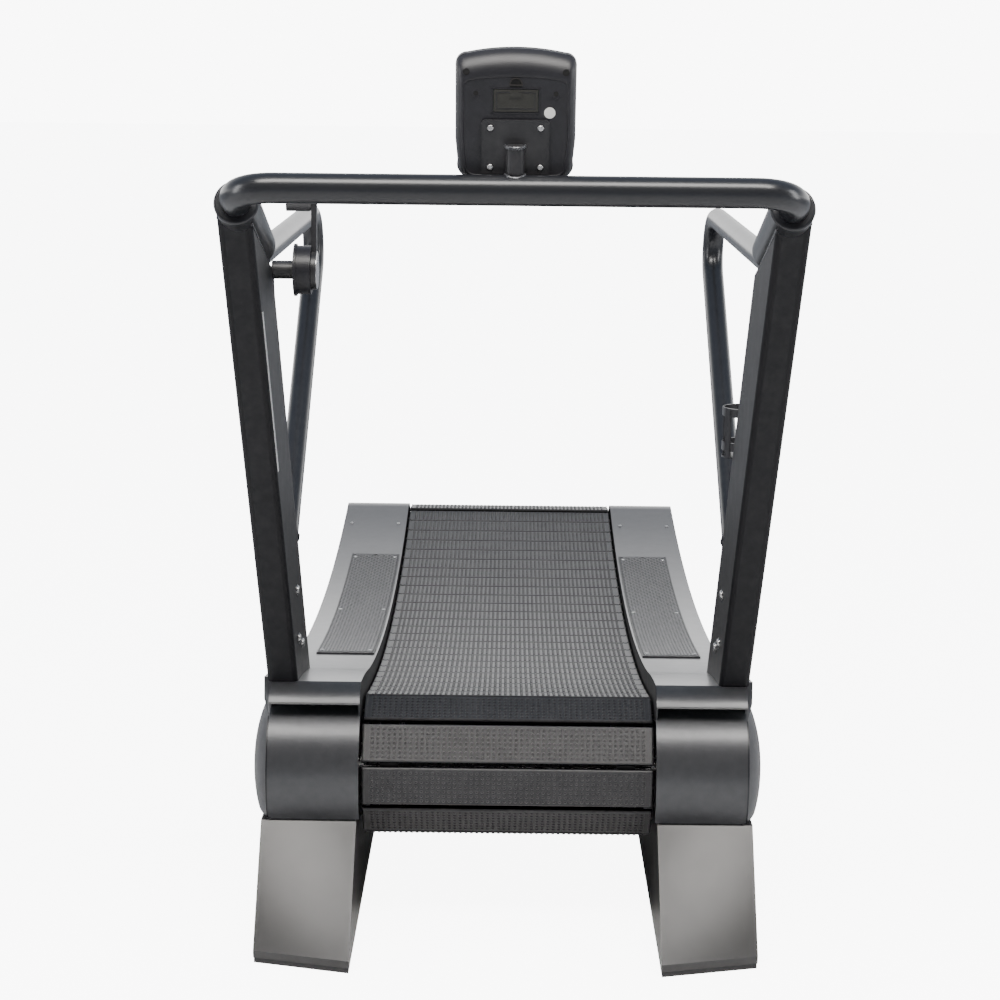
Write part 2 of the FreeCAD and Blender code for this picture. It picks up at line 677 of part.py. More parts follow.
for side, word in ((-1, "left"), (1, "right")):
    body = doc.addObject("PartDesign::Body", "end_dome_%s_round" % word)
    sketch = body.newObject("Sketcher::SketchObject", "end_dome_%s_profile" % word)
    sketch.AttachmentSupport = [(plane(body, "XY_Plane"), "")]
    sketch.MapMode = "FlatFace"
    reach = size["drum_radius"] - 9
    rise = 32
    flat = 3
    bow = (side * rise * 0.8, reach * 0.55)
    draw(sketch, [(0, 0), (side * rise, 0), ("arc", bow, (side * flat, reach)), (0, reach)])
    turned = body.newObject("PartDesign::Revolution", "end_dome_%s_turn" % word)
    turned.Profile = sketch
    turned.ReferenceAxis = (sketch, ["H_Axis"])
    turned.Angle = 360
    place(body, ("%d * (cover_outer_x + 2.2)" % side, "front_y", "front_z"))
    trim = box("end_dome_%s_trim" % word, (60, 300, 150),
               (side_x(side, "cover_outer_x", "cover_outer_x + 60"), "front_y - 150", "front_z - 214"))
    cuff_room = feature("end_dome_%s_cuff_room" % word, cuff_block(side, 0.6))
    named(cut("end_dome_" + word, body, trim, cuff_room), "end_dome_" + word)


# ---------------------------------------------------------------- uprights
def knuckle_frame(side):
    """Front centre of a knuckle and the direction of its axis, forwards and up."""
    slope = math.radians(size["knuckle_slope"])
    axis = V(0, -math.cos(slope), math.sin(slope))
    return V(side * size["knuckle_x"], size["front_y"] - 520, size["knuckle_z"]), axis


stubs = []
bolts = []
envelope = {}
for side, word in ((-1, "left"), (1, "right")):
    wide = size["upright_wide"]
    deep = size["upright_deep"]
    skin = size["upright_wall"]
    solid_bar = leaning_tube(side, wide, deep, size["upright_foot_z"], size["upright_top_z"], 9)
    envelope[side] = solid_bar
    bore = leaning_tube(
        side, wide - 2 * skin, deep - 2 * skin, size["upright_foot_z"] - 5, size["upright_top_z"] + 5, 6)
    nose, axis = knuckle_frame(side)
    saddle = Part.makeCylinder(size["knuckle_radius"], 500, nose + axis * 120, axis * -1)
    above = Part.makeBox(120, 520, 120, V(-60, 0, 0))
    above.Placement = FreeCAD.Placement(
        nose + axis * 120 - V(60, 0, 0), FreeCAD.Rotation(V(1, 0, 0), -size["knuckle_slope"]))
    foot_ends = [size["front_y"] - 200, size["front_y"] + 300]
    below = Part.makePolygon([V(0, foot_ends[0], lid_line(foot_ends[0]) - 8),
                              V(0, foot_ends[1], lid_line(foot_ends[1]) - 8),
                              V(0, foot_ends[1], 200), V(0, foot_ends[0], 200),
                              V(0, foot_ends[0], lid_line(foot_ends[0]) - 8)])
    below = Part.Face(below).extrude(V(200, 0, 0))
    below.translate(V(side * 380 - 100, 0, 0))
    column = solid_bar.cut(bore).cut(saddle).cut(above).cut(below)
    column = max(column.Solids, key=lambda solid: solid.Volume)
    named(feature("upright_" + word, column), "upright_" + word)
    stub = leaning_tube(side, 24, deep - 2 * skin - 0.6, 300, 575, 6)
    hollow = leaning_tube(side, 16, deep - 2 * skin - 8, 295, 580, 4)
    base = Part.makeBox(108, 110, 10)
    base.translate(V(side * 329 - 54, size["front_y"] + 125, size["rail_top"]))
    leg = Part.makeBox(8, 80, 90)
    leg.translate(V(side * 370 - 4, size["front_y"] + 130, size["rail_top"] + 10))
    stubs.append(stub.cut(hollow).cut(leg).fuse([base, leg]).removeSplitter())
    for z, back in ((462, 112), (482, 72), (566, 112)):
        head_x = side * (size["upright_x"] + size["lean_x"] * (z - 439) - wide / 2 - 0.3)
        y = upright_line(z) + back
        head = Part.makeCylinder(7, 4, V(head_x, y, z), V(-side, 0, 0))
        rim_edges = [edge for edge in head.Edges if abs(edge.BoundBox.Center.x - (head_x - 4 * side)) < 0.5]
        head = head.makeFillet(2.4, rim_edges)
        washer = Part.makeCylinder(9.5, 1.2, V(head_x, y, z), V(-side, 0, 0))
        socket = Part.makeCylinder(3, 2.5, V(head_x - side * 4.1, y, z), V(side, 0, 0))
        bolts.append(head.fuse(washer).cut(socket).removeSplitter())
named(feature("upright_stubs", Part.makeCompound(stubs)), "upright_stubs")
named(feature("upright_bolts", Part.makeCompound(bolts)), "upright_bolts")


# ---------------------------------------------------------------- round tubes
def bent_path(points, radii):
    """Straight runs through the points, joined by tangent arcs."""
    edges = []
    last = points[0]
    for index in range(1, len(points) - 1):
        corner = points[index]
        before = (points[index - 1] - corner).normalize()
        after = (points[index + 1] - corner).normalize()
        half = before.getAngle(after) / 2
        back = radii[index - 1] / math.tan(half)
        begin = corner + before * back
        finish = corner + after * back
        middle_way = (before + after).normalize()
        centre = corner + middle_way * (radii[index - 1] / math.sin(half))
        crest = centre - middle_way * radii[index - 1]
        edges.append(Part.LineSegment(last, begin).toShape())
        edges.append(Part.Arc(begin, crest, finish).toShape())
        last = finish
    edges.append(Part.LineSegment(last, points[-1]).toShape())
    return Part.Wire(edges)


def tube(points, radii, outer, wall_thick):
    path = bent_path(points, radii)
    start = points[0]
    along = points[1] - points[0]
    shapes = []
    for radius in (outer, outer - wall_thick):
        ring = Part.Wire(Part.makeCircle(radius, start, along))
        shapes.append(path.makePipeShell([ring], True, True))
    return shapes[0].cut(shapes[1])


for side, word in ((-1, "left"), (1, "right")):
    nose, axis = knuckle_frame(side)
    long = size["knuckle_long"]
    sleeve = Part.makeCylinder(size["knuckle_radius"], long, nose, axis * -1)
    lips = [edge for edge in sleeve.Edges if edge.Curve.TypeId == "Part::GeomCircle"]
    sleeve = sleeve.makeFillet(4, lips)
    front_bore = Part.makeCylinder(size["crossbar_radius"] + 0.1, 71, nose + axis, axis * -1)
    rear_bore = Part.makeCylinder(size["handrail_radius"] + 0.1, 71, nose - axis * (long + 1), axis)
    named(feature("knuckle_" + word, sleeve.cut(front_bore).cut(rear_bore)), "knuckle_" + word)
    tail = nose - axis * long
    points = [tail + axis * 68, tail - axis * 60,
              V(side * 366, size["front_y"] + 605, 1160),
              V(side * 373, size["front_y"] - 10, 622)]
    rail = tube(points, [150, 60], size["handrail_radius"], size["tube_wall"]).cut(envelope[side])
    rail = max(rail.Solids, key=lambda solid: solid.Volume)
    named(feature("handrail_" + word, rail), "handrail_" + word)

nose_left, axis = knuckle_frame(-1)
nose_right, axis = knuckle_frame(1)
bar_ahead = 72
bar_points = [nose_left - axis * 68, nose_left + axis * bar_ahead,
              nose_right + axis * bar_ahead, nose_right - axis * 68]
bar = tube(bar_points, [58, 58], size["crossbar_radius"], size["tube_wall"])
named(feature("crossbar", bar), "crossbar")


# ---------------------------------------------------------------- console
# The console is built in its own upright frame: X across, Y towards the runner, Z up,
# with its origin at the foot of its mounting plate, then tilted and set above the bar.
bar_centre = nose_right + axis * bar_ahead
console_place = FreeCAD.Placement(
    V(0, bar_centre.y + 14, bar_centre.z + size["crossbar_radius"] + 2),
    FreeCAD.Rotation(V(1, 0, 0), size["console_tilt"]))


def face_outline(inset):
    """Front view of the console: arched top, round shoulders, sides drawn in below."""
    half = size["console_wide"] / 2 - inset
    top = size["console_high"] - 4 - inset
    low = -12 + inset
    crown = top - 7
    return [(-half + 16, low), (half - 16, low), ("arc", (half - 6, low + 6), (half - 3, low + 22)),
            (half, 42), (half, crown - 17), ("arc", (half - 4, crown - 5), (half - 16, crown)),
            ("arc", (0, top), (-half + 16, crown)), ("arc", (-half + 4, crown - 5), (-half, crown - 17)),
            (-half, 42), (-half + 3, low + 22), ("arc", (-half + 6, low + 6), (-half + 16, low))]


def face_wire(outline, y):
    last = outline[0]
    edges = []
    for step in outline[1:] + [outline[0]]:
        if step[0] == "arc":
            three = [V(p[0], y, p[1]) for p in (last, step[1], step[2])]
            edges.append(Part.Arc(*three).toShape())
            last = step[2]
        elif math.dist(last, step) > 1e-6:
            edges.append(Part.LineSegment(V(last[0], y, last[1]), V(step[0], y, step[1])).toShape())
            last = step
    return Part.Wire(edges)


def console_slab(inset, y, deep):
    return Part.Face(face_wire(face_outline(inset), y)).extrude(V(0, deep, 0))


def in_console(name, shape):
    obj = feature(name, shape)
    obj.Placement = console_place
    return named(obj, name)


def block(x, y, z, wide, deep, high):
    """A block centred on x, standing on z, from y towards the runner."""
    return Part.makeBox(wide, deep, high, V(x - wide / 2, y, z))


back_deep = size["console_back_deep"]
front_deep = size["console_front_deep"]
thin = size["shell_wall"]
plate_deep = 4
seam = plate_deep + back_deep
door_x = 0
door_z = 83
back = console_slab(0, plate_deep, back_deep)
back = back.cut(console_slab(thin, plate_deep + thin, back_deep))
back = back.cut(block(door_x, plate_deep - 1, door_z, 60.6, thin + 3, 30.6))
for x, z in ((-70, 140), (70, 140)):
    back = back.cut(Part.makeCylinder(3.2, 6, V(x, 0, z), V(0, 1, 0)))
in_console("console_back", back)

frontal = console_slab(0, seam, front_deep)
frontal = frontal.cut(console_slab(thin, seam - 1, front_deep - thin + 1))
frontal = frontal.cut(block(0, seam, 72, 120, 30, 72))
button_spots = [(-45, 38), (-15, 38), (15, 38), (45, 38)]
for x, z in button_spots:
    frontal = frontal.cut(Part.makeCylinder(9.3, 30, V(x, seam, z), V(0, 1, 0)))
in_console("console_front", frontal)
in_console("console_lens", block(0, seam + front_deep - 4.4, 72.3, 119.4, 3, 71.4))
board = block(0, seam - 6, 20, 140, 1.6, 128)
screen = block(0, seam - 4.4, 76, 112, 6, 64)
in_console("circuit_board", board.fuse(screen))
for number, (x, z) in enumerate(button_spots, start=1):
    cap = Part.makeCylinder(9, 13, V(x, seam + 2, z), V(0, 1, 0))
    cap = cap.makeFillet(1.5, [edge for edge in cap.Edges if edge.BoundBox.YMin > seam + 14])
    in_console("button_%d" % number, cap)
door = block(door_x, plate_deep, door_z + 0.3, 60, thin, 30)
latch = block(door_x, plate_deep - 1.2, door_z + 20, 16, 1.4, 8)
in_console("battery_door", door.fuse(latch))
cells = [Part.makeCylinder(7, 50, V(door_x - 25, plate_deep + 11, door_z + z), V(1, 0, 0)) for z in (8, 23)]
in_console("batteries", Part.makeCompound(cells))

mount = block(0, 0, -8, 92, plate_deep - 0.4, 81)
mount = mount.makeFillet(6, [edge for edge in mount.Edges if edge.Length < plate_deep])
neck = Part.makeCylinder(13, 60, V(0, -9.6, -20), V(0, 0, 1))
mount_solid = mount.fuse(neck)
mount_solid.Placement = console_place
bar_space = Part.makeCylinder(size["crossbar_radius"] + 0.1, 300, V(-150, bar_centre.y, bar_centre.z), V(1, 0, 0))
named(feature("console_mount", mount_solid.cut(bar_space).removeSplitter()), "console_mount")


# ---------------------------------------------------------------- screws
def pan_screw(at, out, radius):
    """A cross-head screw head that stands on a surface."""
    head = Part.makeCylinder(radius, radius * 0.55, at, out)
    top = at + out * (radius * 0.55)
    rim_edges = [edge for edge in head.Edges if (edge.BoundBox.Center - top).Length < 0.4]
    head = head.makeFillet(radius * 0.4, rim_edges)
    return head


screws = []
turn = console_place.Rotation
for x, z in ((-34, 62), (34, 62), (-34, 8), (34, 8)):
    at = console_place.multVec(V(x, 0, z))
    screws.append(pan_screw(at, turn.multVec(V(0, -1, 0)), 4.2))
for side in (-1, 1):
    for share in (0.03, 0.5, 0.97):
        angle = pad_from + share * (pad_to - pad_from)
        for x in (257, 346):
            y, z = on_arc(cover_c, skin_r - size["pad_thick"], angle)
            up = V(0, cover_c[0] - y, cover_c[1] - z).normalize()
            screws.append(pan_screw(V(side * x, y, z), up, 4))
    for x in (262, 372):
        y, z = on_arc(cover_c, skin_r, cover_angle(size["front_y"] + 1570))
        up = V(0, cover_c[0] - y, cover_c[1] - z).normalize()
        screws.append(pan_screw(V(side * x, y, z), up, 4))
named(feature("cover_screws", Part.makeCompound(screws)), "cover_screws")


# ---------------------------------------------------------------- resistance lever and brake
lever_y = size["front_y"] + size["lever_y"]
lever_z = size["lever_z"]
rear_face = [upright_line(z) + size["upright_deep"] + 0.2 for z in (900, 1084)]
gusset = plate("lever_gusset", [[
    (rear_face[0], 900), (rear_face[1], 1084), (rear_face[1] + 2, 1113), (lever_y + 30, 1113),
    (lever_y + 30, 1085)]], "-374", 6)
post = rod("lever_post", 14, 34, ("-368", "front_y + lever_y", "lever_z"))
carrier = doc.addObject("Part::Fuse", "lever_bracket_whole")
carrier.Base = gusset
carrier.Tool = post
named(carrier, "lever_bracket")

drum = rod("lever_drum", 37, 26, ("-334", "front_y + lever_y", "lever_z"))
flange = rod("lever_flange", 40, 4, ("-334", "front_y + lever_y", "lever_z"))
case = doc.addObject("Part::Fuse", "lever_case")
case.Base = drum
case.Tool = flange
spindle_hole = rod("lever_spindle_hole", 6.05, 40, ("-323", "front_y + lever_y", "lever_z"))
named(cut("lever_housing", case, spindle_hole), "lever_housing")

cap = rod("lever_cap", 30, 8, ("-307.7", "front_y + lever_y", "lever_z"))
spindle = rod("lever_spindle", 6, 18, ("-322", "front_y + lever_y", "lever_z"))
arm = box("lever_arm", (8, 18, "lever_reach + 9"), ("-307.7", "front_y + lever_y - 9", "lever_z"))
named(group("brake_lever", [cap, spindle, arm], "Part::MultiFuse"), "brake_lever")
grip = rod("lever_grip_bar", 11, 38, ("-346", "front_y + lever_y", "lever_z + lever_reach - 2"))
grip_round = doc.addObject("Part::Fillet", "lever_grip_round")
grip_round.Base = grip
grip_round.Edges = [(1, 4.0, 4.0), (3, 4.0, 4.0)]
named(grip_round, "lever_grip")

cal_z = size["front_z"] - 72
cal_y = size["front_y"] + 108
cheeks = [Part.makeBox(7, 56, 44, V(x, cal_y - 22, cal_z - 22)) for x in (-349, -326)]
bridge = Part.makeBox(30, 16, 44, V(-349, cal_y + 30, cal_z - 22))
pin_way = Part.makeCylinder(5.05, 80, V(-334, cal_y, cal_z), V(0, 1, 0))
caliper = cheeks[0].fuse([cheeks[1], bridge]).cut(pin_way).removeSplitter()
named(feature("magnet_caliper", caliper), "magnet_caliper")
guide_pin = Part.makeCylinder(5, 74, V(-334, cal_y + 22, cal_z), V(0, 1, 0))
guide_foot = Part.makeBox(47, 12, 30, V(-349, cal_y + 84, cal_z - 15))
named(feature("caliper_guide", guide_pin.fuse(guide_foot).removeSplitter()), "caliper_guide")


# ---------------------------------------------------------------- bottle cage
cage_z = 800
cage_y = upright_line(cage_z + 45) + size["upright_deep"]
cage_x = size["upright_x"] + size["lean_x"] * 400
ring_r = 38
cage_mid = V(cage_x - 2, cage_y + 58, 0)


def ring(radius, z, high, wall_thick):
    outer = Part.makeCylinder(radius, high, V(cage_mid.x, cage_mid.y, z))
    return outer.cut(Part.makeCylinder(radius - wall_thick, high, V(cage_mid.x, cage_mid.y, z)))


parts_of_cage = [ring(ring_r, cage_z + 10, 14, 3), ring(ring_r, cage_z + 66, 14, 3)]
for angle in (35, 145, 215, 325):
    strap = Part.makeBox(3, 12, 80, V(ring_r - 3, -6, cage_z))
    strap.rotate(V(0, 0, 0), V(0, 0, 1), angle)
    strap.translate(cage_mid)
    parts_of_cage.append(strap)
floor_disc = Part.makeCylinder(ring_r, 3, V(cage_mid.x, cage_mid.y, cage_z - 2), V(0, 0, 1))
spine = Part.makeBox(26, 60, 80, V(cage_mid.x - 13, cage_mid.y - ring_r - 58, cage_z))
cage = floor_disc.fuse(parts_of_cage + [spine])
cage = cage.cut(Part.makeCylinder(ring_r - 3, 120, V(cage_mid.x, cage_mid.y, cage_z + 1), V(0, 0, 1)))
cage = cage.cut(envelope[1])
cage = max(cage.Solids, key=lambda solid: solid.Volume)
named(feature("bottle_cage", cage), "bottle_cage")


# ---------------------------------------------------------------- check and write
doc.recompute()
faults = []
for obj in doc.Objects:
    if {"Invalid", "Error"} & set(obj.State):
        faults.append("%s is %s" % (obj.Name, obj.State))
for node in nodes:
    if node.Shape.isNull() or not node.Shape.isValid():
        faults.append("%s has no valid shape" % node.Label)
if faults:
    raise RuntimeError("; ".join(faults))
os.makedirs("parts", exist_ok=True)
whole = FreeCAD.BoundBox()
for node in nodes:
    label = node.Label
    node.Shape.exportStep(os.path.join("parts", label + ".step"))
    whole.add(node.Shape.BoundBox)
    print("%-20s solids %3d  volume %10.0f" % (label, len(node.Shape.Solids), node.Shape.Volume))
print("nodes", len(nodes), "slat pitch %.2f" % pitch)
print("X %.1f..%.1f  Y %.1f..%.1f  Z %.1f..%.1f" % (
    whole.XMin, whole.XMax, whole.YMin, whole.YMax, whole.ZMin, whole.ZMax))
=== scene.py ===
import json
import math

import bmesh
import bpy
from mathutils import Matrix, Vector
from mathutils.bvhtree import BVHTree


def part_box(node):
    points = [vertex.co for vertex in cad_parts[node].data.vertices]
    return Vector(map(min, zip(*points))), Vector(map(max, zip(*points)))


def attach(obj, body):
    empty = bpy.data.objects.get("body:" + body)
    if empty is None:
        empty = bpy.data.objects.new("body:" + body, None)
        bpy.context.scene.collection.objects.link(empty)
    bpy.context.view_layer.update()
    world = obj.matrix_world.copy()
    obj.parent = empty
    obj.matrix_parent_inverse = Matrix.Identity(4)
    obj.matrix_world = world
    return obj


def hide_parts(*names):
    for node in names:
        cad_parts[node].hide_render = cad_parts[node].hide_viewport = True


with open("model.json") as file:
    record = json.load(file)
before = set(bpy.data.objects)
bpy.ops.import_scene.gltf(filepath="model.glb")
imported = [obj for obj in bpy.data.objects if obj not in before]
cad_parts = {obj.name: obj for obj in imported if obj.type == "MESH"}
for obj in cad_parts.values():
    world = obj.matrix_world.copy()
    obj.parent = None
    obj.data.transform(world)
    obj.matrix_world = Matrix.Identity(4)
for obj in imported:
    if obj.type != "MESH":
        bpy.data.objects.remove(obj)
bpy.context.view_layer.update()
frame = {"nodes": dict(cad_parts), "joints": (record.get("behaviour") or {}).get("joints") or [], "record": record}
NODES = frame["nodes"]
ACROSS = Vector((1, 0, 0))
ALONG = Vector((0, 1, 0))
UP = Vector((0, 0, 1))


def joint_at(name):
    """Place of a joint in the frame."""
    joint = next(item for item in frame["joints"] if item["name"] == name)
    return Vector(joint["pos_m"])


# Sizes are in metres, apart from the console's own frame, which is in millimetres.
# The uprights lean forward and apart; each carries a knuckle that slopes down to the rear.
FRONT_AXLE = joint_at("front_drum_spin")
REAR_AXLE = joint_at("rear_drum_spin")
TREAD_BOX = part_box("slat_treads")
TREAD_HALF = (TREAD_BOX[1][0] - TREAD_BOX[0][0]) / 2
UPRIGHT_LEAN = 0.56
UPRIGHT_SPREAD = 0.024
UPRIGHT_MARK_Z = 0.439
KNUCKLE_X = 0.387
KNUCKLE_AHEAD = 0.520
KNUCKLE_Z = 1.228
KNUCKLE_SLOPE = math.radians(19)
BAR_RADIUS = 0.021
CONSOLE_TILT = math.radians(12)


# ------------------------------------------------------------------ materials
def new_material(name):
    """A material with its node tree and its shader."""
    mat = bpy.data.materials.new(name)
    mat.use_nodes = True
    tree = mat.node_tree
    shader = tree.nodes["Principled BSDF"]
    return mat, tree, shader


def object_coords(tree, stretch=(1, 1, 1)):
    """Coordinates fixed to the object, stretched along its axes."""
    coord = tree.nodes.new("ShaderNodeTexCoord")
    mapping = tree.nodes.new("ShaderNodeMapping")
    mapping.inputs["Scale"].default_value = stretch
    tree.links.new(coord.outputs["Object"], mapping.inputs["Vector"])
    return mapping.outputs["Vector"]


def noise(tree, vector, scale, detail=4.0, rough=0.55):
    """A cloudy value from nought to one."""
    node = tree.nodes.new("ShaderNodeTexNoise")
    node.inputs["Scale"].default_value = scale
    node.inputs["Detail"].default_value = detail
    node.inputs["Roughness"].default_value = rough
    tree.links.new(vector, node.inputs["Vector"])
    return node.outputs["Fac"]


def ramp(tree, factor, low, high, start=0.3, end=0.7):
    """A colour between two ends."""
    node = tree.nodes.new("ShaderNodeValToRGB")
    node.color_ramp.elements[0].position = start
    node.color_ramp.elements[1].position = end
    node.color_ramp.elements[0].color = (*low, 1)
    node.color_ramp.elements[1].color = (*high, 1)
    tree.links.new(factor, node.inputs["Fac"])
    return node.outputs["Color"]


def between(tree, factor, low, high):
    """A value between two ends."""
    node = tree.nodes.new("ShaderNodeMapRange")
    node.inputs["To Min"].default_value = low
    node.inputs["To Max"].default_value = high
    tree.links.new(factor, node.inputs["Value"])
    return node.outputs["Result"]


def bump(tree, shader, height, strength, distance):
    """Small relief from a height."""
    node = tree.nodes.new("ShaderNodeBump")
    node.inputs["Strength"].default_value = strength
    node.inputs["Distance"].default_value = distance
    tree.links.new(height, node.inputs["Height"])
    tree.links.new(node.outputs["Normal"], shader.inputs["Normal"])


def worn(tree, colour, wear_colour, amount):
    """Edge wear from the surface's own convexity, broken up by noise."""
    geometry = tree.nodes.new("ShaderNodeNewGeometry")
    edge = tree.nodes.new("ShaderNodeMapRange")
    edge.inputs["From Min"].default_value = 0.53
    edge.inputs["From Max"].default_value = 0.62
    edge.inputs["To Max"].default_value = amount
    tree.links.new(geometry.outputs["Pointiness"], edge.inputs["Value"])
    patch = noise(tree, object_coords(tree), 55, 5)
    mask = tree.nodes.new("ShaderNodeMath")
    mask.operation = "MULTIPLY"
    tree.links.new(edge.outputs["Result"], mask.inputs[0])
    tree.links.new(patch, mask.inputs[1])
    mix = tree.nodes.new("ShaderNodeMix")
    mix.data_type = "RGBA"
    tree.links.new(mask.outputs[0], mix.inputs["Factor"])
    tree.links.new(colour, mix.inputs["A"])
    mix.inputs["B"].default_value = (*wear_colour, 1)
    return mix.outputs["Result"]


def paint(name, low, high, metallic=0.0, rough=(0.27, 0.33), coat=0.3, peel=0.06, wear=0.10, index=1.5):
    """Sprayed satin paint: slight clouding, orange peel, a clear coat and faint wear on edges."""
    mat, tree, shader = new_material(name)
    vector = object_coords(tree)
    colour = ramp(tree, noise(tree, vector, 9, 3), low, high, 0.2, 0.8)
    colour = worn(tree, colour, (0.30, 0.30, 0.31), wear)
    tree.links.new(colour, shader.inputs["Base Color"])
    tree.links.new(between(tree, noise(tree, vector, 31, 6), *rough), shader.inputs["Roughness"])
    shader.inputs["Metallic"].default_value = metallic
    shader.inputs["IOR"].default_value = index
    shader.inputs["Coat Weight"].default_value = coat
    shader.inputs["Coat Roughness"].default_value = 0.22
    bump(tree, shader, noise(tree, vector, 380, 2), peel, 0.0003)
    return mat


def plastic(name, low, high, rough=(0.42, 0.58), grain=900, depth=0.25):
    """Moulded plastic with a fine spark texture and slight shade variation."""
    mat, tree, shader = new_material(name)
    vector = object_coords(tree)
    tree.links.new(ramp(tree, noise(tree, vector, 18, 4), low, high), shader.inputs["Base Color"])
    tree.links.new(between(tree, noise(tree, vector, 60, 4), *rough), shader.inputs["Roughness"])
    shader.inputs["Specular IOR Level"].default_value = 0.45
    bump(tree, shader, noise(tree, vector, grain, 2), depth, 0.0003)
    return mat


def rubber(name, low, high, rough=(0.45, 0.66), sheen=0.25):
    """Moulded rubber, with dust caught in it and a soft sheen."""
    mat, tree, shader = new_material(name)
    vector = object_coords(tree)
    tree.links.new(ramp(tree, noise(tree, vector, 30, 8, 0.65), low, high), shader.inputs["Base Color"])
    tree.links.new(between(tree, noise(tree, vector, 90, 5), *rough), shader.inputs["Roughness"])
    shader.inputs["Sheen Weight"].default_value = sheen
    shader.inputs["Sheen Roughness"].default_value = 0.4
    bump(tree, shader, noise(tree, vector, 1300, 3), 0.3, 0.0003)
    return mat


def metal(name, low, high, rough=(0.25, 0.42), stretch=(1, 1, 1), grain=260, depth=0.12):
    """Bare metal, brushed along the axis that the stretch leaves small."""
    mat, tree, shader = new_material(name)
    vector = object_coords(tree, stretch)
    tree.links.new(ramp(tree, noise(tree, vector, grain * 0.3, 6), low, high), shader.inputs["Base Color"])
    tree.links.new(between(tree, noise(tree, vector, grain, 4), *rough), shader.inputs["Roughness"])
    shader.inputs["Metallic"].default_value = 1.0
    bump(tree, shader, noise(tree, vector, grain, 3), depth, 0.0002)
    return mat


def glass(name, colour):
    """Tinted clear plastic with faint smears."""
    mat, tree, shader = new_material(name)
    vector = object_coords(tree)
    tree.links.new(ramp(tree, noise(tree, vector, 14, 3), colour, [c * 1.3 for c in colour]),
                   shader.inputs["Base Color"])
    tree.links.new(between(tree, noise(tree, vector, 40, 4), 0.05, 0.14), shader.inputs["Roughness"])
    shader.inputs["Transmission Weight"].default_value = 0.6
    shader.inputs["IOR"].default_value = 1.49
    return mat


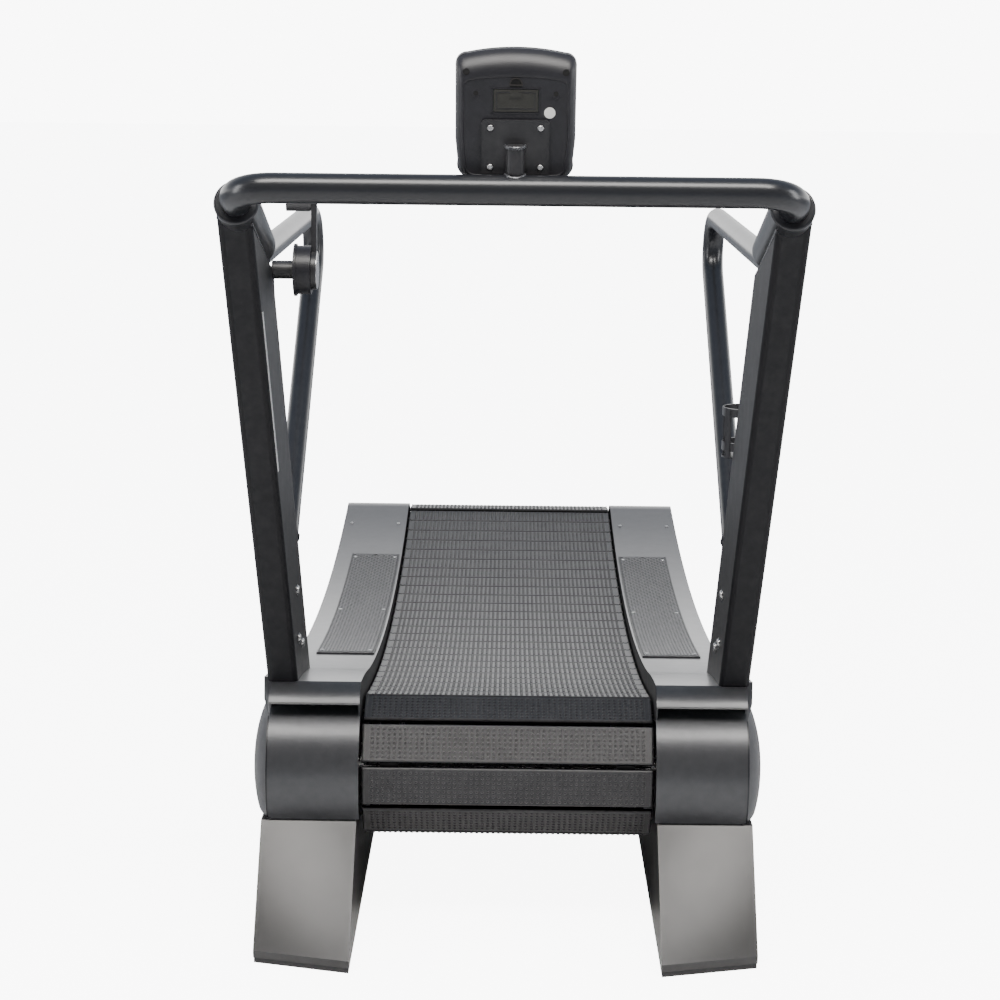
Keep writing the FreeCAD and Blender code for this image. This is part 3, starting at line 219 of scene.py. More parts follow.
MATERIALS = {
    "frame_paint": paint("frame_paint", (0.010, 0.010, 0.011), (0.014, 0.014, 0.016), 0, (0.4, 0.5), 0.1),
    "body_paint": paint("body_paint", (0.013, 0.014, 0.017), (0.017, 0.018, 0.022), 0.15),
    "cover_paint": paint("cover_paint", (0.040, 0.042, 0.047), (0.050, 0.052, 0.057), 0.35,
                         (0.30, 0.36), 0.4),
    "boot_paint": paint("boot_paint", (0.040, 0.039, 0.039), (0.050, 0.049, 0.049), 0.3, (0.34, 0.42), 0.3),
    "slat_aluminium": metal("slat_aluminium", (0.012, 0.012, 0.013), (0.022, 0.022, 0.023),
                            (0.45, 0.6), (0.05, 1, 1)),
    "tread_rubber": rubber("tread_rubber", (0.022, 0.022, 0.024), (0.036, 0.036, 0.038), (0.34, 0.46)),
    "grip_rubber": rubber("grip_rubber", (0.012, 0.012, 0.014), (0.020, 0.020, 0.023)),
    "grip_rib": rubber("grip_rib", (0.075, 0.077, 0.082), (0.10, 0.10, 0.105), (0.4, 0.5)),
    "steel": metal("steel", (0.5, 0.5, 0.5), (0.68, 0.68, 0.67), (0.2, 0.36)),
    "pulley_metal": metal("pulley_metal", (0.34, 0.34, 0.35), (0.5, 0.5, 0.51), (0.3, 0.45)),
    "cast_wheel": metal("cast_wheel", (0.1, 0.1, 0.105), (0.2, 0.2, 0.205), (0.4, 0.6), (1, 1, 1), 140, 0.3),
    "dome_plastic": plastic("dome_plastic", (0.010, 0.010, 0.013), (0.015, 0.015, 0.019), (0.28, 0.38)),
    "console_plastic": plastic("console_plastic", (0.012, 0.012, 0.015), (0.018, 0.018, 0.022), (0.34, 0.44)),
    "panel_plastic": plastic("panel_plastic", (0.016, 0.014, 0.013), (0.022, 0.020, 0.018), (0.5, 0.6)),
    "door_plastic": plastic("door_plastic", (0.021, 0.021, 0.018), (0.027, 0.027, 0.023), (0.45, 0.55)),
    "lens": glass("lens", (0.12, 0.14, 0.15)),
    "board": plastic("board", (0.01, 0.07, 0.035), (0.02, 0.11, 0.05)),
    "button_rubber": rubber("button_rubber", (0.04, 0.04, 0.043), (0.065, 0.065, 0.07)),
    "battery": metal("battery", (0.2, 0.22, 0.25), (0.3, 0.32, 0.36)),
    # The uprights' paint: darker and less glossy than the frame paint, as painted shade on the uprights.
    "upright_shaded_paint": paint("upright_shaded_paint", (0.006, 0.006, 0.008), (0.010, 0.010, 0.012), 0, (0.42, 0.5), 0.0,
                        index=1.28),
    # Near-black: the seals above the front legs, and painted shade on the covers' walls beside the belt.
    "seal_black_and_wall_shade": plastic("seal_black_and_wall_shade", (0.005, 0.005, 0.006), (0.008, 0.008, 0.009), (0.6, 0.7)),
    "mount_steel": paint("mount_steel", (0.008, 0.008, 0.010), (0.012, 0.012, 0.014), 0.1, (0.34, 0.44), 0.1),
    "weld": paint("weld", (0.030, 0.032, 0.038), (0.05, 0.052, 0.06), 0.4, (0.2, 0.34), 0.4, 0.3, 0.4),
    "magnet": paint("magnet", (0.05, 0.05, 0.055), (0.08, 0.08, 0.085), 0.5),
    "cage_metal": paint("cage_metal", (0.008, 0.008, 0.010), (0.012, 0.012, 0.015)),
    # Much lighter than the cover paint: a painted highlight along the lids' lips.
    "lip_highlight_paint": paint("lip_highlight_paint", (0.12, 0.12, 0.12), (0.16, 0.16, 0.16), 0.6, (0.22, 0.3), 0.3),
    # Bright metal for the lever's end plate; on the left upright it is a painted highlight.
    "silver_and_painted_highlight": metal("silver_and_painted_highlight", (0.62, 0.62, 0.62), (0.78, 0.78, 0.77), (0.18, 0.3)),
    "sticker": plastic("sticker", (0.68, 0.68, 0.66), (0.78, 0.78, 0.76)),
    # Near-black for the console's holes and wells and the gaps between slats: painted shade.
    "hole_painted_shade": plastic("hole_painted_shade", (0.003, 0.003, 0.003), (0.005, 0.005, 0.005), (0.7, 0.8)),
    "display": plastic("display", (0.23, 0.27, 0.23), (0.28, 0.32, 0.27), (0.2, 0.3)),
}
COVERS = ("top_cover_left", "top_cover_right", "drum_cover_left", "drum_cover_right")
POSTS = ("upright_left", "upright_right")
BOOTS = ("front_leg_left", "front_leg_right", "rear_leg_left", "rear_leg_right")
# Nodes whose material differs from the one of their slot.
FINISHES = {name: "cover_paint" for name in COVERS}
# The uprights take a darker copy of the frame paint: painted shade.
FINISHES.update({name: "upright_shaded_paint" for name in POSTS})
FINISHES.update({name: "boot_paint" for name in BOOTS})
FINISHES["battery_door"] = "door_plastic"
EDGE_ROUNDS = {name: 0.0009 for name in COVERS}
EDGE_ROUNDS.update({name: 0.0016 for name in BOOTS})
EDGE_ROUNDS.update({"console_front": 0.0015, "battery_door": 0.0005, "console_mount": 0.0005,
                    "lever_housing": 0.0012, "brake_lever": 0.0008, "bottle_cage": 0.0006,
                    "rubber_feet": 0.0015})


def dress_cad():
    """Every carried-over CAD node gets its material, and sheet and moulded ones a small edge round."""
    slots = {item["node"]: item["material_slot"] for item in frame["record"]["subparts"]}
    for name, obj in NODES.items():
        obj.data.materials.clear()
        obj.data.materials.append(MATERIALS[FINISHES.get(name, slots[name])])
        if name in EDGE_ROUNDS:
            modifier = obj.modifiers.new("edge_round", "BEVEL")
            modifier.width = EDGE_ROUNDS[name]
            modifier.segments = 2
            modifier.limit_method = "ANGLE"
            modifier.angle_limit = math.radians(50)
            modifier.harden_normals = False


# ------------------------------------------------------------------ mesh helpers
def mesh_from(name, verts, faces):
    """A mesh from its points and faces."""
    mesh = bpy.data.meshes.new(name)
    mesh.from_pydata(verts, [], faces)
    mesh.update()
    return mesh


def add_piece(name, mesh, material, body="frame", smooth=True):
    """A visible piece that rides on a body."""
    obj = bpy.data.objects.new(name, mesh)
    bpy.context.scene.collection.objects.link(obj)
    mesh.materials.append(MATERIALS[material])
    if smooth:
        for polygon in mesh.polygons:
            polygon.use_smooth = True
        mesh.set_sharp_from_angle(angle=math.radians(35))
    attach(obj, body)
    return obj


def ring_way(k, count, first, second):
    """Direction number k of count round a ring, from the first axis towards the second."""
    angle = 2 * math.pi * k / count
    return first * math.cos(angle) + second * math.sin(angle)


BOX_FACES = [(0, 1, 3, 2), (4, 6, 7, 5), (0, 4, 5, 1), (2, 3, 7, 6), (0, 2, 6, 4), (1, 5, 7, 3)]


def prism(centre, across, up, out, sizes):
    """A box from its centre, three unit axes and full sizes."""
    verts = []
    for a in (-0.5, 0.5):
        for b in (-0.5, 0.5):
            for c in (-0.5, 0.5):
                verts.append(centre + across * (a * sizes[0]) + up * (b * sizes[1]) + out * (c * sizes[2]))
    return verts, BOX_FACES


def piece(name, parts, material, body="frame", smooth=True):
    """One visible piece gathered from simple parts, each a list of points and a list of faces."""
    verts = []
    faces = []
    for more_verts, more_faces in parts:
        base = len(verts)
        verts.extend(more_verts)
        faces.extend([tuple(base + i for i in face) for face in more_faces])
    return add_piece(name, mesh_from(name, verts, faces), material, body, smooth)


def capped_rings(rings, caps=(True, True)):
    """Skin over rings of as many points each, with caps over the first and the last ring."""
    verts = [vert for ring in rings for vert in ring]
    count = len(rings[0])
    faces = []
    for level in range(len(rings) - 1):
        for k in range(count):
            a = level * count + k
            b = level * count + (k + 1) % count
            faces.append((a, b, b + count, a + count))
    if caps[0]:
        faces.append(tuple(reversed(range(count))))
    if caps[1]:
        faces.append(tuple(range((len(rings) - 1) * count, len(rings) * count)))
    return verts, faces


def sweep_tube(points, radius, sides=12, wobble=0.0):
    """A closed bead or wire that follows points."""
    rings = []
    count = len(points)
    for index, point in enumerate(points):
        ahead = (points[min(index + 1, count - 1)] - points[max(index - 1, 0)]).normalized()
        side = ahead.cross(Vector((0.31, 0.17, 0.93))).normalized()
        up = ahead.cross(side).normalized()
        size = radius * (1 + wobble * math.sin(index * 1.9))
        rings.append([point + ring_way(k, sides, side, up) * size for k in range(sides)])
    return capped_rings(rings)


# ------------------------------------------------------------------ treads
def islands(obj):
    """The points of each separate solid in a node."""
    bm = bmesh.new()
    bm.from_mesh(obj.data)
    bmesh.ops.remove_doubles(bm, verts=bm.verts, dist=1e-6)
    seen = set()
    found = []
    for start in bm.verts:
        if start in seen:
            continue
        stack = [start]
        seen.add(start)
        part = []
        while stack:
            vert = stack.pop()
            part.append(vert.co.copy())
            for edge in vert.link_edges:
                other = edge.other_vert(vert)
                if other not in seen:
                    seen.add(other)
                    stack.append(other)
        found.append(part)
    bm.free()
    return found


def tread_planes():
    """Centre of the top face, outward normal and travel direction of every tread."""
    tries = 720
    between_axles = REAR_AXLE - FRONT_AXLE
    planes = []
    for part in islands(NODES["slat_treads"]):
        centre = sum(part, Vector()) / len(part)
        spread = [point - centre for point in part]
        angles = [math.pi * step / tries for step in range(tries)]
        normals = [Vector((0, math.cos(angle), math.sin(angle))) for angle in angles]
        normal = min(normals, key=lambda way: max(abs(point.dot(way)) for point in spread))
        share = (centre - FRONT_AXLE).dot(between_axles) / between_axles.length_squared
        axle_line = FRONT_AXLE.lerp(REAR_AXLE, max(0.0, min(1.0, share)))
        if normal.dot(centre - axle_line) < 0:
            normal = -normal
        top = centre + normal * max(point.dot(normal) for point in spread)
        planes.append((top, normal, ACROSS.cross(normal).normalized()))
    return planes


def stud(centre, normal, travel):
    """A low moulded stud with sloping sides, sunk a little into the tread."""
    sides = 7
    radius = 0.0032
    ways = [ring_way(k, sides, ACROSS, travel) for k in range(sides)]
    low = [centre + way * radius - normal * 0.0003 for way in ways]
    top = [centre + way * (radius * 0.58) + normal * 0.0014 for way in ways]
    return capped_rings([low, top], (False, True))


def build_treads(planes):
    """Seven rows of moulded studs and two lips across each end of every tread."""
    rows = 7
    row_step = 0.0080
    column_step = 0.0091
    bare_ends = 0.030
    columns = int((2 * TREAD_HALF - bare_ends) / column_step)
    studs = []
    lips = []
    for top, normal, travel in planes:
        middle = Vector((0, top.y, top.z))
        for row in range(rows):
            for column in range(columns + 1):
                x = (column - columns / 2) * column_step
                centre = middle + ACROSS * x + travel * ((row - (rows - 1) / 2) * row_step)
                studs.append(stud(centre, normal, travel))
        for side in (-1, 1):
            for inset, wide in ((0.0100, 0.0018), (0.0020, 0.0026)):
                centre = middle + ACROSS * (side * (TREAD_HALF - inset)) + normal * 0.0002
                lips.append(prism(centre, ACROSS, travel, normal, (wide, 0.060, 0.0012)))
    piece("tread_studs", studs, "tread_rubber")
    piece("tread_lips", lips, "tread_rubber")


def build_gap_shade_strips(planes):
    """Near-black strips sunk in the gaps between slats: painted shade that keeps the gaps dark."""
    sunk = 0.0066
    parts = []
    for top, normal, travel in planes:
        ahead = min((other for other in planes if (other[0] - top).dot(travel) > 0.01),
                    key=lambda other: (other[0] - top).length)
        middle = (top + ahead[0]) / 2
        out = (normal + ahead[1]).normalized()
        along = ACROSS.cross(out).normalized()
        centre = Vector((0, middle.y, middle.z)) - out * sunk
        parts.append(prism(centre, ACROSS, along, out, (0.474, 0.0034, 0.0016)))
    piece("gap_shade_strips", parts, "hole_painted_shade", smooth=False)


def build_belt_bolts(planes):
    """Bolt heads at the slat ends, seen in the gap beside the deck."""
    sides = 10
    sunk = 0.0085
    parts = []
    for top, normal, travel in planes:
        for side in (-1, 1):
            centre = Vector((side * (TREAD_HALF + 0.0022), top.y, top.z)) - normal * sunk
            ways = [ring_way(k, sides, travel, normal) for k in range(sides)]
            low = [centre + way * 0.0031 for way in ways]
            high = [centre + way * 0.0021 + ACROSS * (side * 0.0012) for way in ways]
            parts.append(capped_rings([low, high], (False, True)))
    piece("slat_end_bolts", parts, "steel")


# ------------------------------------------------------------------ grip pads
def build_grip(word):
    """Crossed raised ribs that make the diamond pattern of a foot grip pad."""
    node = "grip_pad_" + word
    low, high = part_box(node)
    mesh = NODES[node].data
    points = [vert.co for vert in mesh.vertices]
    surface = BVHTree.FromPolygons(points, [tuple(face.vertices) for face in mesh.polygons])
    heights = {}

    def height_at(y):
        """Height of the pad's top along its middle, or None beside the pad."""
        key = round(y, 3)
        if key not in heights:
            hit = surface.ray_cast(Vector(((low[0] + high[0]) / 2, key, 2.0)), -UP)[0]
            heights[key] = hit.z if hit else None
        return heights[key]

    step = 0.0125
    margin = 0.004
    spans = 6
    x0 = low[0] + margin
    x1 = high[0] - margin
    y0 = low[1] + margin
    y1 = high[1] - margin
    parts = []
    count = int((x1 - x0 + y1 - y0) / step)
    for lean in (-1, 1):
        for index in range(1, count):
            points = []
            for k in range(spans + 1):
                x = x0 + (x1 - x0) * k / spans
                run = (x - x0) if lean > 0 else (x1 - x)
                y = y0 + index * step - run
                if y0 <= y <= y1 and height_at(y) is not None:
                    points.append(Vector((x, y, height_at(y))))
            for a, b in zip(points[:-1], points[1:]):
                along = (b - a).normalized()
                across = along.cross(UP).normalized()
                up = across.cross(along).normalized()
                middle = (a + b) / 2 + up * 0.0002
                parts.append(prism(middle, along, across, up, ((b - a).length + 0.0006, 0.0030, 0.0020)))
    piece("grip_ribs_" + word, parts, "grip_rib")


# ------------------------------------------------------------------ console
BAR_LOW, BAR_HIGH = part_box("crossbar")
BAR_Y = BAR_LOW[1] + BAR_RADIUS
BAR_Z = BAR_HIGH[2] - BAR_RADIUS
CONSOLE_TURN = Matrix.Rotation(CONSOLE_TILT, 4, "X")
CONSOLE_AT = Vector((0, BAR_Y + 0.014, BAR_Z + 0.023))
# Outline of the console, and the depth of its set-back panel.
CONSOLE_HALF = 82.0
CONSOLE_TOP = 164.0
CONSOLE_LOW = -12.0
CONSOLE_MIDDLE = 80
PANEL_Y = 5.1
DOOR_OPENING = (-30.4, 30.4, 12, 14, 82.9, 113.7)


def in_console(x, y, z):
    """World place of a point in the console's own frame, in millimetres."""
    return CONSOLE_AT + (CONSOLE_TURN @ Vector((x, y, z)) / 1000)


def console_edge():
    """The console's outline seen from behind, as points (x, z)."""
    half = CONSOLE_HALF
    low = CONSOLE_LOW
    corner = 16
    arch_high = 7
    crown = CONSOLE_TOP - arch_high
    right = [(half - corner, low), (half - 10, low + 2), (half - 6, low + 6), (half - 4, low + 13),
             (half - 3, low + 22), (half, 42), (half, 80), (half, 115), (half, crown - 17),
             (half - 1, crown - 10), (half - 4, crown - 5), (half - 9, crown - 2), (half - corner, crown)]
    arch = []
    for k in range(1, 12):
        x = (half - corner) * (1 - k / 6)
        arch.append((x, CONSOLE_TOP - arch_high * (x / (half - corner)) ** 2))
    left = [(-x, z) for x, z in reversed(right)]
    sole = [(-half + corner + (2 * half - 2 * corner) * k / 6, low) for k in range(1, 6)]
    return right + arch + left + sole


def shell_ring(edge, share, y, inset):
    """The outline drawn in towards the panel: far at the top, less at the sides and foot."""
    side = 1 - (share * 12 + inset) / CONSOLE_HALF
    upper = 1 - (share * 34 + inset) / (CONSOLE_TOP - CONSOLE_MIDDLE)
    lower = 1 - (share * 8 + inset) / (CONSOLE_TOP - CONSOLE_MIDDLE)
    ring = []
    for x, z in edge:
        pull = upper if z > CONSOLE_MIDDLE else lower
        ring.append(in_console(x * side, y, CONSOLE_MIDDLE + (z - CONSOLE_MIDDLE) * pull))
    return ring


def slab(x0, x1, y, deep, z0, z1):
    """A box in the console's frame that stands from y towards its back."""
    verts = [in_console(x, level, z) for x in (x0, x1) for level in (y - deep, y) for z in (z0, z1)]
    return verts, BOX_FACES


def with_opening(mesh, opening):
    """The same mesh with a box cut out of it."""
    cutter = bpy.data.objects.new("door_cutter", mesh_from("door_cutter", *opening))
    shell = bpy.data.objects.new("console_shell_raw", mesh)
    for obj in (cutter, shell):
        bpy.context.scene.collection.objects.link(obj)
    modifier = shell.modifiers.new("opening", "BOOLEAN")
    modifier.operation = "DIFFERENCE"
    modifier.object = cutter
    modifier.solver = "EXACT"
    bpy.context.view_layer.update()
    result = bpy.data.meshes.new_from_object(shell.evaluated_get(bpy.context.evaluated_depsgraph_get()))
    for obj in (cutter, shell):
        bpy.data.objects.remove(obj)
    return result


def build_console_shell():
    """The back shell: a pillowed rim round a set-back panel, hollow, with a battery opening."""
    edge = console_edge()
    rim_y = 27.8
    rise = 23.7
    wall = 2.4
    steps = 12
    profile = [(0.9 * k / steps, rim_y - rise * math.sin(math.pi / 2 * k / steps) ** 0.62)
               for k in range(steps + 1)]
    profile += [(0.94, 4.15), (0.98, 4.5), (1.0, PANEL_Y)]
    inner_profile = [(0.0, rim_y), (0.3, 17.0), (0.6, 10.5), (0.9, 7.6), (1.0, 7.4)]
    outer = [shell_ring(edge, share, y, 0.0) for share, y in profile]
    inner = [shell_ring(edge, share, y, wall) for share, y in inner_profile]
    mesh = mesh_from("console_shell", *capped_rings(list(reversed(outer)) + inner))
    bm = bmesh.new()
    bm.from_mesh(mesh)
    bmesh.ops.recalc_face_normals(bm, faces=bm.faces)
    bm.to_mesh(mesh)
    bm.free()
    result = with_opening(mesh, slab(*DOOR_OPENING))
    result.name = "console_shell"
    back = add_piece("console_shell", result, "console_plastic")
    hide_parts("console_back")


def border(half, z0, z1, wide, y, deep):
    """Four slabs round a rectangle."""
    return [slab(-half, half, y, deep, z1 - wide, z1), slab(-half, half, y, deep, z0, z0 + wide),
            slab(-half, -half + wide, y, deep, z0, z1), slab(half - wide, half, y, deep, z0, z1)]


def arc_points(x, z, radius, arc, steps):
    """Points (x, z) along an arc that is given in degrees."""
    first, last = (math.radians(angle) for angle in arc)
    angles = [first + (last - first) * k / steps for k in range(steps + 1)]
    return [(x + radius * math.cos(angle), z + radius * math.sin(angle)) for angle in angles]


def plate(outline, y, deep):
    """A flat plate with this outline that stands from y towards the console's back."""
    return capped_rings([[in_console(x, level, z) for x, z in outline] for level in (y, y - deep)])


def disc(x, z, radius, y, deep):
    """A round plate on the console's back."""
    return plate(arc_points(x, z, radius, (0, 360), 28)[:-1], y, deep)


def arch_strip(x, z, inside, outside, y, deep, arc):
    """A raised strip along an arc on the console's back."""
    steps = 14
    inner = arc_points(x, z, inside, arc, steps)
    outer = arc_points(x, z, outside, arc, steps)
    rings = []
    for (inner_x, inner_z), (outer_x, outer_z) in zip(inner, outer):
        rings.append([in_console(inner_x, y, inner_z), in_console(inner_x, y - deep, inner_z),
                      in_console(outer_x, y - deep, outer_z), in_console(outer_x, y, outer_z)])
    return capped_rings(rings, (False, False))


def console_piece(name, parts, material, body="frame"):
    """A piece on the console, in the material given."""
    piece(name, parts, material, body)


def build_console_details():
    """Sockets, screw wells, a blank sticker, the battery door's frame and latch, and the display. The sockets, the
    screw wells and the latch's well are near-black discs and plates: painted shade in place of holes.
    """
    jack_x = 54
    console_piece("jack_sockets", [disc(x, 108, 3.4, PANEL_Y, 0.3) for x in (-jack_x, jack_x)], "hole_painted_shade")
    jack_lips = [arch_strip(x, 106, 4.2, 5.6, PANEL_Y, 0.8, (190, 350)) for x in (-jack_x, jack_x)]
    console_piece("jack_lips", jack_lips, "console_plastic")
    console_piece("screw_wells", [disc(x, 137, 4.6, 4.6, 0.25) for x in (-67, 67)], "hole_painted_shade")
    console_piece("round_sticker", [disc(46, 82, 7.6, PANEL_Y, 0.35)], "sticker")
    console_piece("door_frame", border(33, 80.8, 115.6, 1.2, PANEL_Y, 0.9), "console_plastic")
    door_line = border(26, 87.0, 109.9, 0.9, 4.0, 0.3)
    console_piece("door_panel_line", door_line, "console_plastic", "battery_hatch")
    latch_z = 120.5
    latch = [arch_strip(0, latch_z, 7.4, 9.0, 4.6, 1.0, (0, 180)), slab(-9, 9, 4.6, 1.4, 118.6, 120.6)]
    console_piece("door_latch", latch, "panel_plastic", "battery_hatch")
    latch_well = [plate(arc_points(0, latch_z, 7.2, (0, 180), 14), PANEL_Y, 0.25),
                  slab(-8, 8, PANEL_Y, 0.25, 116.4, 118.2)]
    console_piece("door_latch_well", latch_well, "hole_painted_shade")
    piece("display_face", [slab(-54, 54, 30.0, 0.3, 78, 138)], "display")


def build_neck_welds():
    """Beads round the head and the foot of the console's neck."""
    neck_radius = 13.4
    neck_y = -9.2
    head = []
    for level, bead in ((40.0, 0.0020), (38.4, 0.0016)):
        half_ring = [in_console(x, neck_y + run, level)
                     for x, run in arc_points(0, 0, neck_radius, (180, 360), 24)]
        head.append(sweep_tube(half_ring, bead, 8, 0.18))
    piece("neck_weld", head, "weld")
    foot_radius = 0.0140
    foot = []
    for k in range(33):
        way = ring_way(k, 32, ACROSS, ALONG) * foot_radius
        y = BAR_Y + 0.0010 + way.y
        rise = math.sqrt(max(BAR_RADIUS ** 2 - (y - BAR_Y) ** 2, 0))
        foot.append(Vector((way.x, y, BAR_Z + rise + 0.0005)))
    piece("neck_foot_weld", [sweep_tube(foot, 0.0019, 8, 0.18)], "weld")


# ------------------------------------------------------------------ welds and trim
def weld_on_plane(centre, axis, radius, normal, bead):
    """A bead where a round tube ends on a flat face."""
    count = 40
    side = axis.cross(UP).normalized()
    up = axis.cross(side).normalized()
    ring = []
    for k in range(count + 1):
        rim = ring_way(k, count, side, up) * radius
        ring.append(centre + rim - axis * (rim.dot(normal) / axis.dot(normal)))
    return sweep_tube(ring, bead, 8, 0.16)


def build_welds():
    """Beads where the handrails land on the uprights and along the knuckles' saddles."""
    count = 70
    saddle_start = 0.020
    saddle_long = 0.205
    beads = []
    for side in (-1, 1):
        axis = Vector((side * 0.007, -0.615, -0.538)).normalized()
        normal = Vector((0, 1, UPRIGHT_LEAN)).normalized()
        landing = Vector((side * 0.3727, FRONT_AXLE.y + 0.0172, 0.6458))
        beads.append(weld_on_plane(landing, axis, 0.0195, normal, 0.0024))
        for aside, drop in ((-0.0202, 0.0248), (0.0275, 0.0165)):
            line = []
            for k in range(count):
                run = saddle_start + saddle_long * k / (count - 1)
                y = (FRONT_AXLE.y - KNUCKLE_AHEAD + run * math.cos(KNUCKLE_SLOPE)
                     - drop * math.sin(KNUCKLE_SLOPE))
                z = KNUCKLE_Z - run * math.sin(KNUCKLE_SLOPE) - drop * math.cos(KNUCKLE_SLOPE)
                line.append(Vector((side * (KNUCKLE_X + aside), y, z)))
            beads.append(sweep_tube(line, 0.0019, 7, 0.2))
    piece("welds", beads, "weld")


def build_lid_lip_highlights():
    """Beads along the front lips of the lids over the drums, much lighter than the cover paint: a painted
    highlight line.
    """
    y = FRONT_AXLE.y - 0.0992
    z = FRONT_AXLE.z + 0.1275
    inner_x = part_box("drum_cover_right")[0][0] + 0.0005
    outer_x = 0.3925
    lips = []
    for side in (-1, 1):
        points = [Vector((side * x, y, z)) for x in (inner_x, (inner_x + outer_x) / 2, outer_x)]
        lips.append(sweep_tube(points, 0.0017, 10))
    piece("lid_lip_highlights", lips, "lip_highlight_paint")


def build_lever_plate():
    """The bright round plate on the end of the resistance lever's hub."""
    sides = 40
    lever = joint_at("lever_turn")
    face_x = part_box("brake_lever")[1][0]
    rings = []
    for x, radius in ((face_x - 0.0002, 0.0285), (face_x + 0.0006, 0.0285), (face_x + 0.0010, 0.0275)):
        centre = Vector((x, lever.y, lever.z))
        rings.append([centre + ring_way(k, sides, ALONG, UP) * radius for k in range(sides)])
    piece("lever_end_plate", [capped_rings(rings)], "silver_and_painted_highlight", "resistance_lever")


def build_upright_highlight_strip():
    """A bright strip down the inner face of the left upright: a painted highlight where light falls on that face.
    """
    thick = 0.0006
    wide = 0.011
    face = []
    for z in (0.805, 1.065):
        above = z - UPRIGHT_MARK_Z
        x = -(0.3735 + UPRIGHT_SPREAD * above - 0.025) + 0.0004
        y = FRONT_AXLE.y - 0.077 - UPRIGHT_LEAN * above + 0.0105
        face.append([Vector((x, y, z)), Vector((x, y + wide, z))])
    outline = [face[0][0], face[0][1], face[1][1], face[1][0]]
    strip = capped_rings([outline, [point + ACROSS * thick for point in outline]])
    piece("upright_highlight_strip", [strip], "silver_and_painted_highlight", smooth=False)


def build_wall_shade_and_leg_seals():
    """A thin near-black sheet on the covers' walls beside the belt, painted shade in the gap there, and a seal
    above each front leg.
    """
    clear = 0.0004
    for word, side in (("left", -1), ("right", 1)):
        walls = []
        for name in ("top_cover_" + word, "drum_cover_" + word):
            mesh = NODES[name].data
            inner_x = min(abs(corner[0]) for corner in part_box(name))
            for face in mesh.polygons:
                points = [mesh.vertices[index].co for index in face.vertices]
                on_wall = all(abs(abs(point.x) - inner_x) < 0.0003 for point in points)
                if on_wall and face.normal.x * side < -0.9:
                    walls.append(([point - ACROSS * (side * clear) for point in points],
                                  [tuple(range(len(points)))]))
        piece("belt_side_wall_shade_" + word, walls, "seal_black_and_wall_shade", smooth=False)
        seal_at = Vector((side * 0.319, FRONT_AXLE.y - 0.1165, 0.2000))
        seal = prism(seal_at, ACROSS, ALONG, UP, (0.138, 0.0018, 0.0074))
        piece("leg_seal_" + word, [seal], "seal_black_and_wall_shade", smooth=False)


# ------------------------------------------------------------------ stage, light and camera
def camera_ray(tree):
    """One for what the camera sees itself, nought for light and reflections."""
    return tree.nodes.new("ShaderNodeLightPath").outputs["Is Camera Ray"]


def math_node(tree, operation, first, second):
    """A node that works on a socket and on a second socket or a number."""
    node = tree.nodes.new("ShaderNodeMath")
    node.operation = operation
    tree.links.new(first, node.inputs[0])
    if isinstance(second, float):
        node.inputs[1].default_value = second
    else:
        tree.links.new(second, node.inputs[1])
    return node.outputs[0]


def build_floor():
    """A wide pale floor that looks as bright as the backdrop."""
    reach = 60.0
    corners = [(-reach, -reach, 0), (reach, -reach, 0), (reach, reach, 0), (-reach, reach, 0)]
    mesh = mesh_from("floor", corners, [(0, 1, 2, 3)])
    floor = bpy.data.objects.new("floor", mesh)
    bpy.context.scene.collection.objects.link(floor)
    mat, tree, shader = new_material("pale_floor")
    clouds = noise(tree, object_coords(tree), 2, 3)
    tree.links.new(ramp(tree, clouds, (0.84, 0.84, 0.84), (0.87, 0.87, 0.87)), shader.inputs["Base Color"])
    shader.inputs["Roughness"].default_value = 0.7
    shader.inputs["Emission Color"].default_value = (1, 1, 1, 1)
    tree.links.new(math_node(tree, "MULTIPLY", camera_ray(tree), 8.0), shader.inputs["Emission Strength"])
    mesh.materials.append(mat)


# Shade of the studio from the floor in front, over the ceiling, down to the bright backdrop.
STUDIO = [(0.0, (0.10, 0.10, 0.10)), (0.22, (0.055, 0.05, 0.05)), (0.34, (0.17, 0.165, 0.16)),
          (0.50, (0.10, 0.125, 0.17)), (0.68, (0.09, 0.115, 0.155)), (0.84, (0.27, 0.28, 0.30)),
          (0.94, (1.0, 1.0, 1.0))]


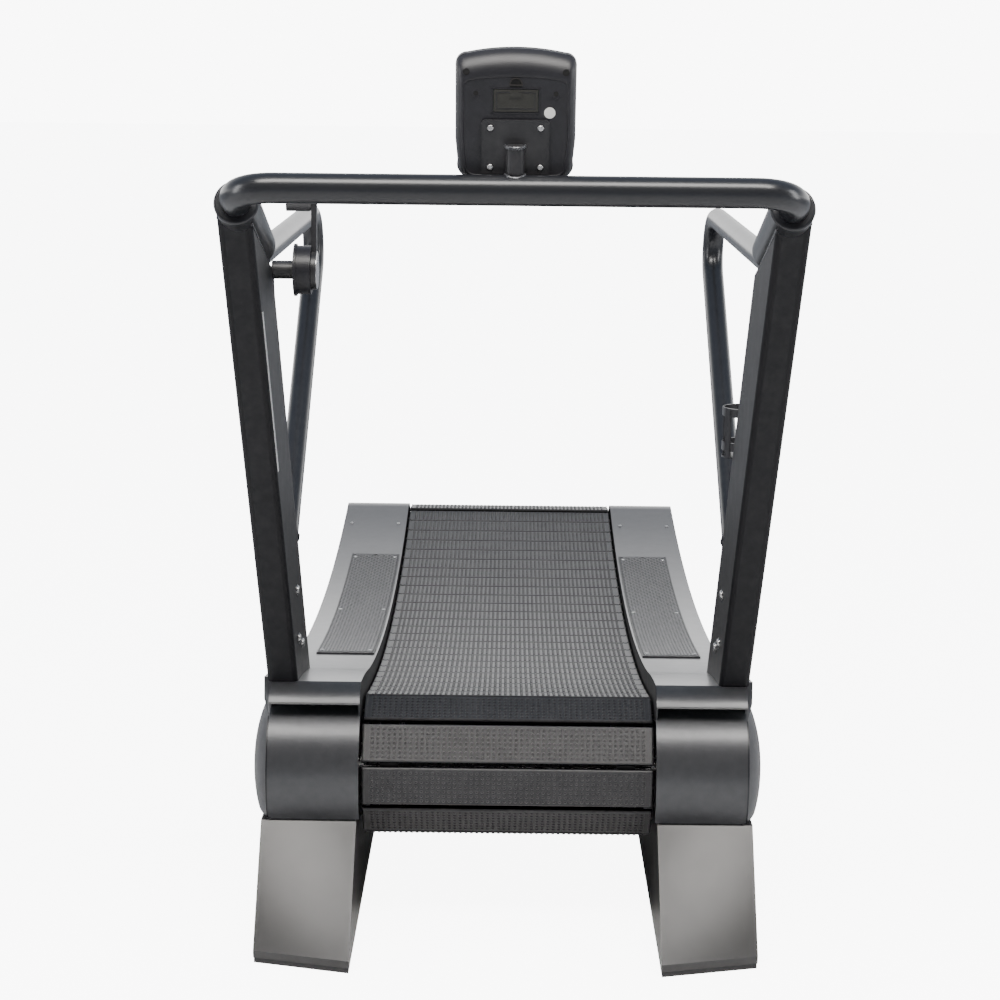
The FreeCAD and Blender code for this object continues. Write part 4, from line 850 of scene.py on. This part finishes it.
def build_world():
    """Studio walls for light and reflections, and plain white for the camera."""
    world = bpy.data.worlds.new("studio")
    bpy.context.scene.world = world
    world.use_nodes = True
    tree = world.node_tree
    coord = tree.nodes.new("ShaderNodeTexCoord")
    parts = tree.nodes.new("ShaderNodeSeparateXYZ")
    tree.links.new(coord.outputs["Generated"], parts.inputs["Vector"])
    ahead = math_node(tree, "MULTIPLY", parts.outputs["Y"], -1.0)
    share = tree.nodes.new("ShaderNodeMapRange")
    share.inputs["From Max"].default_value = math.pi
    tree.links.new(math_node(tree, "ARCTAN2", parts.outputs["Z"], ahead), share.inputs["Value"])
    sky = tree.nodes.new("ShaderNodeValToRGB")
    shades = sky.color_ramp.elements
    shades.remove(shades[1])
    shades[0].position = STUDIO[0][0]
    shades[0].color = (*STUDIO[0][1], 1)
    for position, colour in STUDIO[1:]:
        shades.new(position).color = (*colour, 1)
    tree.links.new(share.outputs["Result"], sky.inputs["Fac"])
    background = tree.nodes["Background"]
    tree.links.new(sky.outputs["Color"], background.inputs["Color"])
    background.inputs["Strength"].default_value = 2.4
    plain = tree.nodes.new("ShaderNodeBackground")
    plain.inputs["Color"].default_value = (1, 1, 1, 1)
    plain.inputs["Strength"].default_value = 9.0
    mix = tree.nodes.new("ShaderNodeMixShader")
    tree.links.new(camera_ray(tree), mix.inputs["Fac"])
    tree.links.new(background.outputs["Background"], mix.inputs[1])
    tree.links.new(plain.outputs["Background"], mix.inputs[2])
    tree.links.new(mix.outputs["Shader"], tree.nodes["World Output"].inputs["Surface"])


def area_light(name, at, target, size, power, colour=(1, 1, 1)):
    """A rectangular lamp aimed at a target."""
    data = bpy.data.lights.new(name, "AREA")
    data.shape = "RECTANGLE"
    data.size = size[0]
    data.size_y = size[1]
    data.energy = power
    data.color = colour
    obj = bpy.data.objects.new(name, data)
    obj.location = at
    obj.rotation_euler = (Vector(target) - Vector(at)).to_track_quat("-Z", "Y").to_euler()
    bpy.context.scene.collection.objects.link(obj)


def build_lights():
    """A softbox above the front, and a lower, weaker one on each side."""
    area_light("softbox", (0, -2.35, 3.3), (0, -0.7, 0.35), (3.4, 0.9), 150, (1.0, 0.97, 0.93))
    area_light("left_box", (-3.6, -1.6, 1.6), (0, -0.6, 0.8), (0.7, 2.2), 40)
    area_light("right_box", (3.6, -1.2, 1.8), (0, -0.6, 0.8), (0.7, 2.2), 40)


def build_camera():
    """A camera in front of the console end, at standing height."""
    sensor = 36
    focal_per_sensor = 2.2642
    place = (-0.0052, -4.2962, 1.4031)
    yaw = -0.0033
    pitch = 0.1848
    roll = 0.0110
    data = bpy.data.cameras.new("camera")
    data.sensor_width = sensor
    data.lens = focal_per_sensor * sensor
    camera = bpy.data.objects.new("camera", data)
    flat = math.cos(pitch)
    forward = Vector((math.sin(yaw) * flat, math.cos(yaw) * flat, -math.sin(pitch)))
    right = Vector((math.cos(yaw), -math.sin(yaw), 0))
    up = right.cross(forward)
    right_rolled = right * math.cos(roll) + up * math.sin(roll)
    up_rolled = up * math.cos(roll) - right * math.sin(roll)
    basis = Matrix((right_rolled, up_rolled, -forward)).transposed().to_4x4()
    camera.matrix_world = Matrix.Translation(place) @ basis
    bpy.context.scene.collection.objects.link(camera)
    bpy.context.scene.camera = camera


dress_cad()
treads = tread_planes()
build_treads(treads)
build_belt_bolts(treads)
build_gap_shade_strips(treads)
for word in ("left", "right"):
    build_grip(word)
build_console_shell()
build_console_details()
build_neck_welds()
build_welds()
build_lid_lip_highlights()
build_lever_plate()
build_upright_highlight_strip()
build_wall_shade_and_leg_seals()
build_floor()
build_world()
build_lights()
build_camera()
